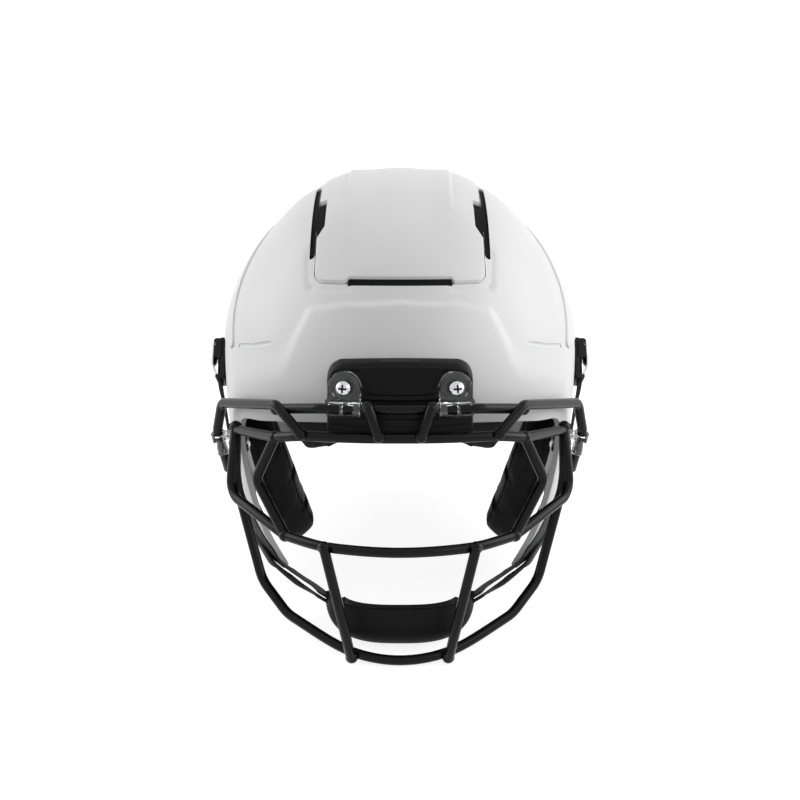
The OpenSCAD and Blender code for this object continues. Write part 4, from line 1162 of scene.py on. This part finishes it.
def buckleLever(which):
    def make():
        bm = bmesh.new()
        place = buckleFrame(which)
        wide = (buckle["width"] - 2 * buckle["cheek"] - 1) / 2

        def thumb(u):
            # 0 along the lever, rising to 1 at its thumb end
            return smooth((u - buckle["thumbFrom"]) / (1 - buckle["thumbFrom"]))

        def bowed(u):
            # the lever bows up and its thumb end turns down
            return buckle["pinZ"] + buckle["bow"] * math.sin(math.pi * u * 0.94) - buckle["thumb"] * thumb(u)

        def put(lift):
            def at(u, v):
                x = buckle["pinX"] + u * buckle["lever"]
                y = (2 * v - 1) * wide * (1 - 0.1 * thumb(u))
                return Vector((x, y, bowed(u) + 0.1 + lift))
            return at
        addSlab(bm, 26, 12, put(1.1), put(-0.3))
        bmesh.ops.recalc_face_normals(bm, faces=bm.faces)
        roundEdges(bm, 0.3, 2, 60)
        for k in range(4):  # grip ribs
            u = 0.74 + 0.055 * k
            x, z = buckle["pinX"] + buckle["lever"] * u, bowed(u) + 1.05
            addRod(bm, (x, -wide * 0.75, z), (x, wide * 0.75, z), 0.4, 10)
        for half, r, segments in ((wide, buckle["eye"], 32), (wide + 2.3, buckle["pin"], 24)):
            addRod(bm, (buckle["pinX"], -half, buckle["pinZ"]), (buckle["pinX"], half, buckle["pinZ"]),
                   r, segments)
        bmesh.ops.transform(bm, matrix=place, verts=bm.verts)
        return bm
    return make


for which in runs:
    bothSides(which + "_buckle_moulded", buckleBody(which), "buckle", "helmet",
              [which + "_buckle_SIDE"], 40)
    bothSides(which + "_lever_pressed", buckleLever(which), "lever", which + "_lever_SIDE",
              [which + "_lever_SIDE"], 40)
print("buckles made")


# chin strap webbing

strap = {"width": 20, "thick": 1.6,
         # it bends from the shell to the cup here
         "leaves": Vector((0, -84, -112)), "meets": Vector((0, -120, -121))}


def laid(d, off):
    return onDome(d) + domeNormal(d) * (off + strap["thick"] / 2), domeNormal(d)


def inBuckle(which, x):
    stud, run = runs[which]
    n = domeNormal(stud)
    way = (run - n * run.dot(n)).normalized()
    up = buckle["gap"] + buckle["base"] + 0.35 + strap["thick"] / 2
    return onDome(stud) + way * x + n * up, n


def free(p, n):
    return Vector(p), Vector(n).normalized()


straps = {
    "upper": [inBuckle("upper", -11), inBuckle("upper", 0), inBuckle("upper", 16), laid((115, -13, -37), 2),
              laid((112, -29, -55), 0.8), laid((107, -46, -72), 0.8), laid((96, -66, -92), 0.8),
              laid((84, -79, -110), 1.2), free((74, -93, -119.5), (0.55, -0.36, -0.75)),
              free((61, -108, -121), (0.52, -0.35, -0.78)), free((52.5, -121, -120.5), (0.56, -0.33, -0.76)),
              free((48.5, -131, -118.5), (0.56, -0.33, -0.76)),
              free((46, -138, -117.5), (0.56, -0.33, -0.76))],
    "lower": [inBuckle("lower", -11), inBuckle("lower", 0), inBuckle("lower", 16), laid((98, -8, -97), 2),
              laid((94, -30, -106), 1.5), laid((88, -50, -113), 2.2), laid((84, -68, -112), 3.6),
              free((76.3, -94.5, -122.5), (0.55, -0.36, -0.75)),
              free((64, -110, -124.5), (0.52, -0.35, -0.78)),
              free((55, -122.5, -123.5), (0.56, -0.33, -0.76)),
              free((50.5, -132, -120.7), (0.56, -0.33, -0.76)),
              free((47.5, -139, -119.5), (0.56, -0.33, -0.76))],
}


def webbing(stations):
    # smooth run through the stations, returned as points, normals and length along
    n, steps = len(stations), 10
    at = [s[0] for s in stations]
    normals = [s[1] for s in stations]
    points, faces = [], []
    for i in range(n - 1):
        a, d = at[max(i - 1, 0)], at[min(i + 2, n - 1)]
        for k in range(steps + (i == n - 2)):
            points.append(curvePoint(a, at[i], at[i + 1], d, k / steps))
            faces.append(normals[i].lerp(normals[i + 1], smooth(k / steps)).normalized())
    along = [0]
    for a, b in zip(points, points[1:]):
        along.append(along[-1] + (b - a).length)
    return points, faces, along


def strapMesh(stations, turn):
    points, faces, along = webbing(stations)
    last, cross = len(points) - 1, 12
    bm = bmesh.new()
    shares = {}

    def put(side):
        def at(u, v):
            i = round(v * last)
            t = (points[min(i + 1, last)] - points[max(i - 1, 0)]).normalized()
            n = (faces[i] - t * faces[i].dot(t)).normalized()
            w = 2 * u - 1
            edge = smooth((abs(w) - 0.86) / 0.14)  # selvedge is thinner
            rise = n * side * (1 - 0.35 * edge) * strap["thick"] / 2
            p = points[i] + t.cross(n) * w * strap["width"] / 2 + rise
            shares[tuple(round(c, 4) for c in p)] = (u * strap["width"], along[i])
            return p
        return at
    addSlab(bm, cross, last, put(1), put(-1))
    marks = bm.loops.layers.uv.new("UVMap")
    for f in bm.faces:
        for loop in f.loops:
            loop[marks].uv = shares[tuple(round(c, 4) for c in loop.vert.co)]
    if turn:
        bmesh.ops.transform(bm, matrix=flipX, verts=bm.verts)
    return bm, along[-1]


for which, stations in straps.items():
    for side, turn in (("left", False), ("right", True)):
        bm, length = strapMesh(stations, turn)
        piece = toObject(f"{which}_strap_{side}_woven", bm)
        settle(piece, "web", None, [f"{which}_strap_{side}"], angle=50)
        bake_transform(piece)
print("straps laid")


# chin cup

cup = {"middle": Vector((0, -124, -113.4)), "halfWidth": 49, "forward": 36, "depth": 31.5, "wall": 2.6,
       "squareness": 0.4, "reach": 79, "end": 100, "padThick": 6, "padReach": 62, "rivetZ": -119.5,
       "rivets": [(-138, 2.4), (-128, 0.6)]}  # y of each, and how far it stands in from the side


def squared(x, p):
    return math.copysign(abs(x) ** p, x)


def cupPoint(a, v, off):
    a, v = math.radians(a), math.radians(v)
    k = squared(math.cos(a), 0.65)
    return cup["middle"] + Vector(((cup["halfWidth"] + off) * squared(math.sin(a), 0.7),
                                   -(cup["forward"] + off) * k * squared(math.cos(v), cup["squareness"]),
                                   -(cup["depth"] + off) * k * squared(math.sin(v), cup["squareness"])))


def cupShell(low, high, reach, start, end, radius):
    bm = bmesh.new()
    addSlab(bm, 72, 44, lambda u, v: cupPoint((2 * u - 1) * reach, mix(start, end, v), high),
            lambda u, v: cupPoint((2 * u - 1) * reach, mix(start, end, v), low))
    bmesh.ops.recalc_face_normals(bm, faces=bm.faces)
    roundEdges(bm, radius, 3, 60)
    return bm


cupMesh = cupShell(-cup["wall"], 0, cup["reach"], 0, cup["end"], 0.9)
for s in (-1, 1):
    for y, inset in cup["rivets"]:  # they hold the webbing in the corners
        x, z = cup["halfWidth"] - inset, cup["rivetZ"]
        addRod(cupMesh, (s * (x - 2), y, z), (s * (x + 1.6), y, z), 2.2, 24, 1.6)
settle(toObject("chin_cup_moulded", cupMesh), "cup", "chin_cup", ["chin_cup"], angle=50)
padBack = -cup["wall"] - 0.4
padMesh = cupShell(padBack - cup["padThick"], padBack, cup["padReach"], 3, 96, 2.4)
cupPad = toObject("chin_cup_pad_sewn", padMesh)
settle(cupPad, "pad", "chin_cup", ["chin_cup_pad"], angle=60)
print("chin cup made")


# cushions of the liner

cushion = {"lobe": 7, "lean": 10, "fit": 0.97, "pull": 0.22, "rim": 0.42, "crown": 0.4, "round": 2.2,
           "channelWidth": 0.09, "channelDepth": 4.5, "seamAt": 0.84, "seamWidth": 0.05, "seamDepth": 0.9,
           "voxel": 0.005, "pressure": 4, "frames": 20, "quality": 6, "mass": 0.15, "stiffness": 12,
           "bending": 0.4, "cap": 4.5}


def browLobe(u, v):
    # lower edge of the brow cushion hangs in a lobe over each eye
    return cushion["lobe"] * smooth(1 - abs(abs(u) - 66) / 38) * smooth((20 - v) / 28)


cushions = {
    # middle and half size across and up, back and thickness, channels, and where a point of it faces
    "front_pad": ((0, 20), (97, 28), 8.3, 20, (), lambda u, v: (u, -130, v - u * u / 500 - browLobe(u, v))),
    "crown_pad": ((0, 8), (58, 64), 13, 20, (-0.34, 0.34), lambda u, v: (u, v, 100 - abs(v) / 4)),
    "rear_pad": ((0, -22), (62, 52), 7.4, 20, (0,), lambda u, v: (u, 120, v)),
    "side_pad": ((10, 34), (52, 25), 13, 18, (), lambda u, v: (100, u, v)),
    "jaw_pad": ((-47, -83), (34, 59), 7.4, 29, (-0.3, 0.36), lambda u, v: (100, u, v + 0.3 * (u + 47))),
}


def cushionMesh(middle, half, back, thick, channels, face):
    # cushion in its slack shape, and for each point of it its shares across and up and whether it is the back
    bm = bmesh.new()
    columns = int(max(24, half[0] / 1.6) * fine)
    rows = int(max(24, half[1] / 1.6) * fine)
    marks = []

    def put(raised):
        def at(u, v):
            a, b = 2 * u - 1, 2 * v - 1
            outline = cushion["fit"] * (1 - cushion["pull"] * smooth((abs(b) - 0.7) / 0.3) ** 2)
            d = Vector(face(middle[0] + half[0] * a * outline, middle[1] + half[1] * b * cushion["fit"]))
            n = domeNormal(d)
            edge = max(0.0, 1 - abs(a) ** 5) * max(0.0, 1 - abs(b) ** 5)
            deep = thick * (cushion["rim"] + cushion["crown"] * edge ** 0.5) if raised else 0.4
            lean = cushion["lean"] * (1 - b) / 2 if middle[1] < -50 else 0  # the jaw pads lean in
            p = onDome(d) - n * (back + lean + deep)
            marks.append((toWorld @ p, a, b, not raised))
            return p
        return at
    addSlab(bm, columns, rows, put(False), put(True))
    bmesh.ops.recalc_face_normals(bm, faces=bm.faces)
    roundEdges(bm, cushion["round"], 3, 45)
    return bm, marks


def swell(piece, marks):
    # filled with air: the cover swells under a light pressure while its back stays on the wall
    tree = kdtree.KDTree(len(marks))
    for i, mark in enumerate(marks):
        tree.insert(mark[0], i)
    tree.balance()
    remesh = piece.modifiers.new("remesh", "REMESH")
    remesh.mode = "VOXEL"
    remesh.voxel_size = cushion["voxel"]
    applyModifiers(piece)
    held = piece.vertex_groups.new(name="held")
    held.add([v.index for v in piece.data.vertices if marks[tree.find(v.co)[1]][3]], 1.0, "REPLACE")
    cloth = piece.modifiers.new("cover", "CLOTH")
    cloth.settings.quality = cushion["quality"]
    cloth.settings.mass = cushion["mass"]
    cloth.settings.tension_stiffness = cloth.settings.compression_stiffness = cushion["stiffness"]
    cloth.settings.bending_stiffness = cushion["bending"]
    cloth.settings.use_pressure = True
    cloth.settings.uniform_pressure_force = cushion["pressure"]
    cloth.settings.effector_weights.gravity = 0
    cloth.settings.vertex_group_mass = "held"
    cloth.point_cache.frame_start = 1
    cloth.point_cache.frame_end = cushion["frames"]
    for frameNumber in range(1, cushion["frames"] + 1):
        scene.frame_set(frameNumber)
    swollen = piece.evaluated_get(bpy.context.evaluated_depsgraph_get())
    moves = [a.co - b.co for a, b in zip(swollen.data.vertices, piece.data.vertices)]
    piece.modifiers.clear()
    piece.vertex_groups.clear()
    scene.frame_set(1)
    most = cushion["cap"] * mm
    for v, move in zip(piece.data.vertices, moves):
        v.co += move if move.length < most else move * (most / move.length)
    return tree


def sewChannels(piece, tree, marks, channels):
    # seams after the swelling: channels across and a line of stitches round the face
    refine = piece.modifiers.new("refine", "SUBSURF")
    refine.levels = refine.render_levels = 2
    applyModifiers(piece)
    normals = [v.normal.copy() for v in piece.data.vertices]
    for v, n in zip(piece.data.vertices, normals):
        place, a, b, isBack = marks[tree.find(v.co)[1]]
        if isBack:
            continue
        channel = max([0] + [smooth(1 - abs(b - c) / cushion["channelWidth"]) for c in channels])
        seam = smooth(1 - abs(max(abs(a), abs(b)) - cushion["seamAt"]) / cushion["seamWidth"])
        v.co -= n * mm * (cushion["channelDepth"] * channel * (1 - a * a) + cushion["seamDepth"] * seam)


def cushionPiece(name, spec):
    bm, marks = cushionMesh(*spec)
    piece = toObject(name, bm)
    piece.data.transform(toWorld)
    tree = swell(piece, marks)
    sewChannels(piece, tree, marks, spec[4])
    return piece


for name, spec in cushions.items():
    piece = cushionPiece(name + "_sewn", spec)
    if name in ("front_pad", "crown_pad", "rear_pad"):
        settle(piece, "pad", "helmet", [name], angle=180, placed=True)
        continue
    twin = bpy.data.objects.new(name + "_sewn_right", piece.data.copy())
    scene.collection.objects.link(twin)
    twin.data.transform(flipX)
    twin.data.flip_normals()
    piece.name = name + "_sewn_left"
    for side, half in (("left", piece), ("right", twin)):
        settle(half, "pad", "helmet", [f"{name}_{side}"], angle=180, placed=True)
print("cushions sewn")


# dark foam strips under the vents and the front slot, which stand for the liner and paint the shade seen
# through the openings, and dark mesh that backs the vents, the notches and the front slot

foam = {"behind": 0.7, "thick": 2.8, "vent": ((45, -72), (67, 34)), "slot": ((-40, -112), (40, -86)),
        "notch": ((49.2, -50), (57, -15.5)), "meshThick": 3, "ventDeep": 1.2, "notchDeep": 1.4,
        "slotDeep": 0.4}


def backing(across, along, edge, off, thick):
    # strip under the dome's face: edge gives x and y for shares across and along
    bm = bmesh.new()

    def place(depth):
        return lambda u, v: over(*edge(u, v), depth)
    addSlab(bm, across, along, place(off), place(off - thick))
    return bm


def strip(corners, off, thick):
    (x0, y0), (x1, y1) = corners
    bm = backing(20, 40, lambda u, v: (mix(x0, x1, u), mix(y0, y1, v)), off, thick)
    bmesh.ops.recalc_face_normals(bm, faces=bm.faces)
    roundEdges(bm, 0.8, 2, 50)
    return bm


def ventLine(u, v):
    (x0, y0), (x1, y1) = (end[:2] for end in openings["vent"][:2])
    y = mix(y0 - 1, y1 + 1, v)
    return mix(x0, x1, (y - y0) / (y1 - y0)) + mix(-1.8, 1.8, u), y


def slotLine(u, v):
    x = mix(-32.8, 32.8, v)
    return x, frontArc(x, mix(-2.5, 1.5, u))


def foamSides(name, make):
    bothSides(name, make, "stop", "helmet", [], 50)


behind = pocketBack - foam["behind"]
# painted shade: dark strips just above the pads, so the vents and the front slot look shaded inside
foamSides("vent_foam_shade", lambda: strip(foam["vent"], behind, foam["thick"]))
settle(toObject("slot_foam_shade", strip(foam["slot"], behind, foam["thick"])), "stop", "helmet", [], 50)
foamSides("vent_mesh", lambda: backing(4, 40, ventLine, -foam["ventDeep"], foam["meshThick"]))
foamSides("notch_mesh", lambda: strip(foam["notch"], -foam["notchDeep"], foam["meshThick"]))
slotMesh = backing(4, 40, slotLine, -foam["slotDeep"], foam["meshThick"])
settle(toObject("slot_mesh", slotMesh), "stop", "helmet", [], 50)


# CAD nodes that stay, with their own finish

kept = {
    "chrome": ["rear_bumper_screws", "front_screw_left", "front_screw_right", "side_screw_left",
               "side_screw_right", "nuts", "snap_studs"],
    "stop": ["crown_stops", "side_stops"], "patch": ["hook_patches"], "valve": ["air_valves"],
    "clip": ["side_clip_left", "side_clip_right"],
}
edgeWidth = {"chrome": 0.25, "stop": 0.2, "patch": 0.3, "valve": 0.25, "clip": 0.7}
for look, names in kept.items():
    for name in names:
        node = frame["nodes"][name]
        node.data.materials.clear()
        node.data.materials.append(finishes[look])
        joined = node.modifiers.new("joined", "WELD")
        joined.merge_threshold = 0.00001
        edge = node.modifiers.new("edge", "BEVEL")
        edge.width = edgeWidth[look] * mm
        edge.segments = 2
        edge.limit_method = "ANGLE"
        edge.angle_limit = math.radians(40)
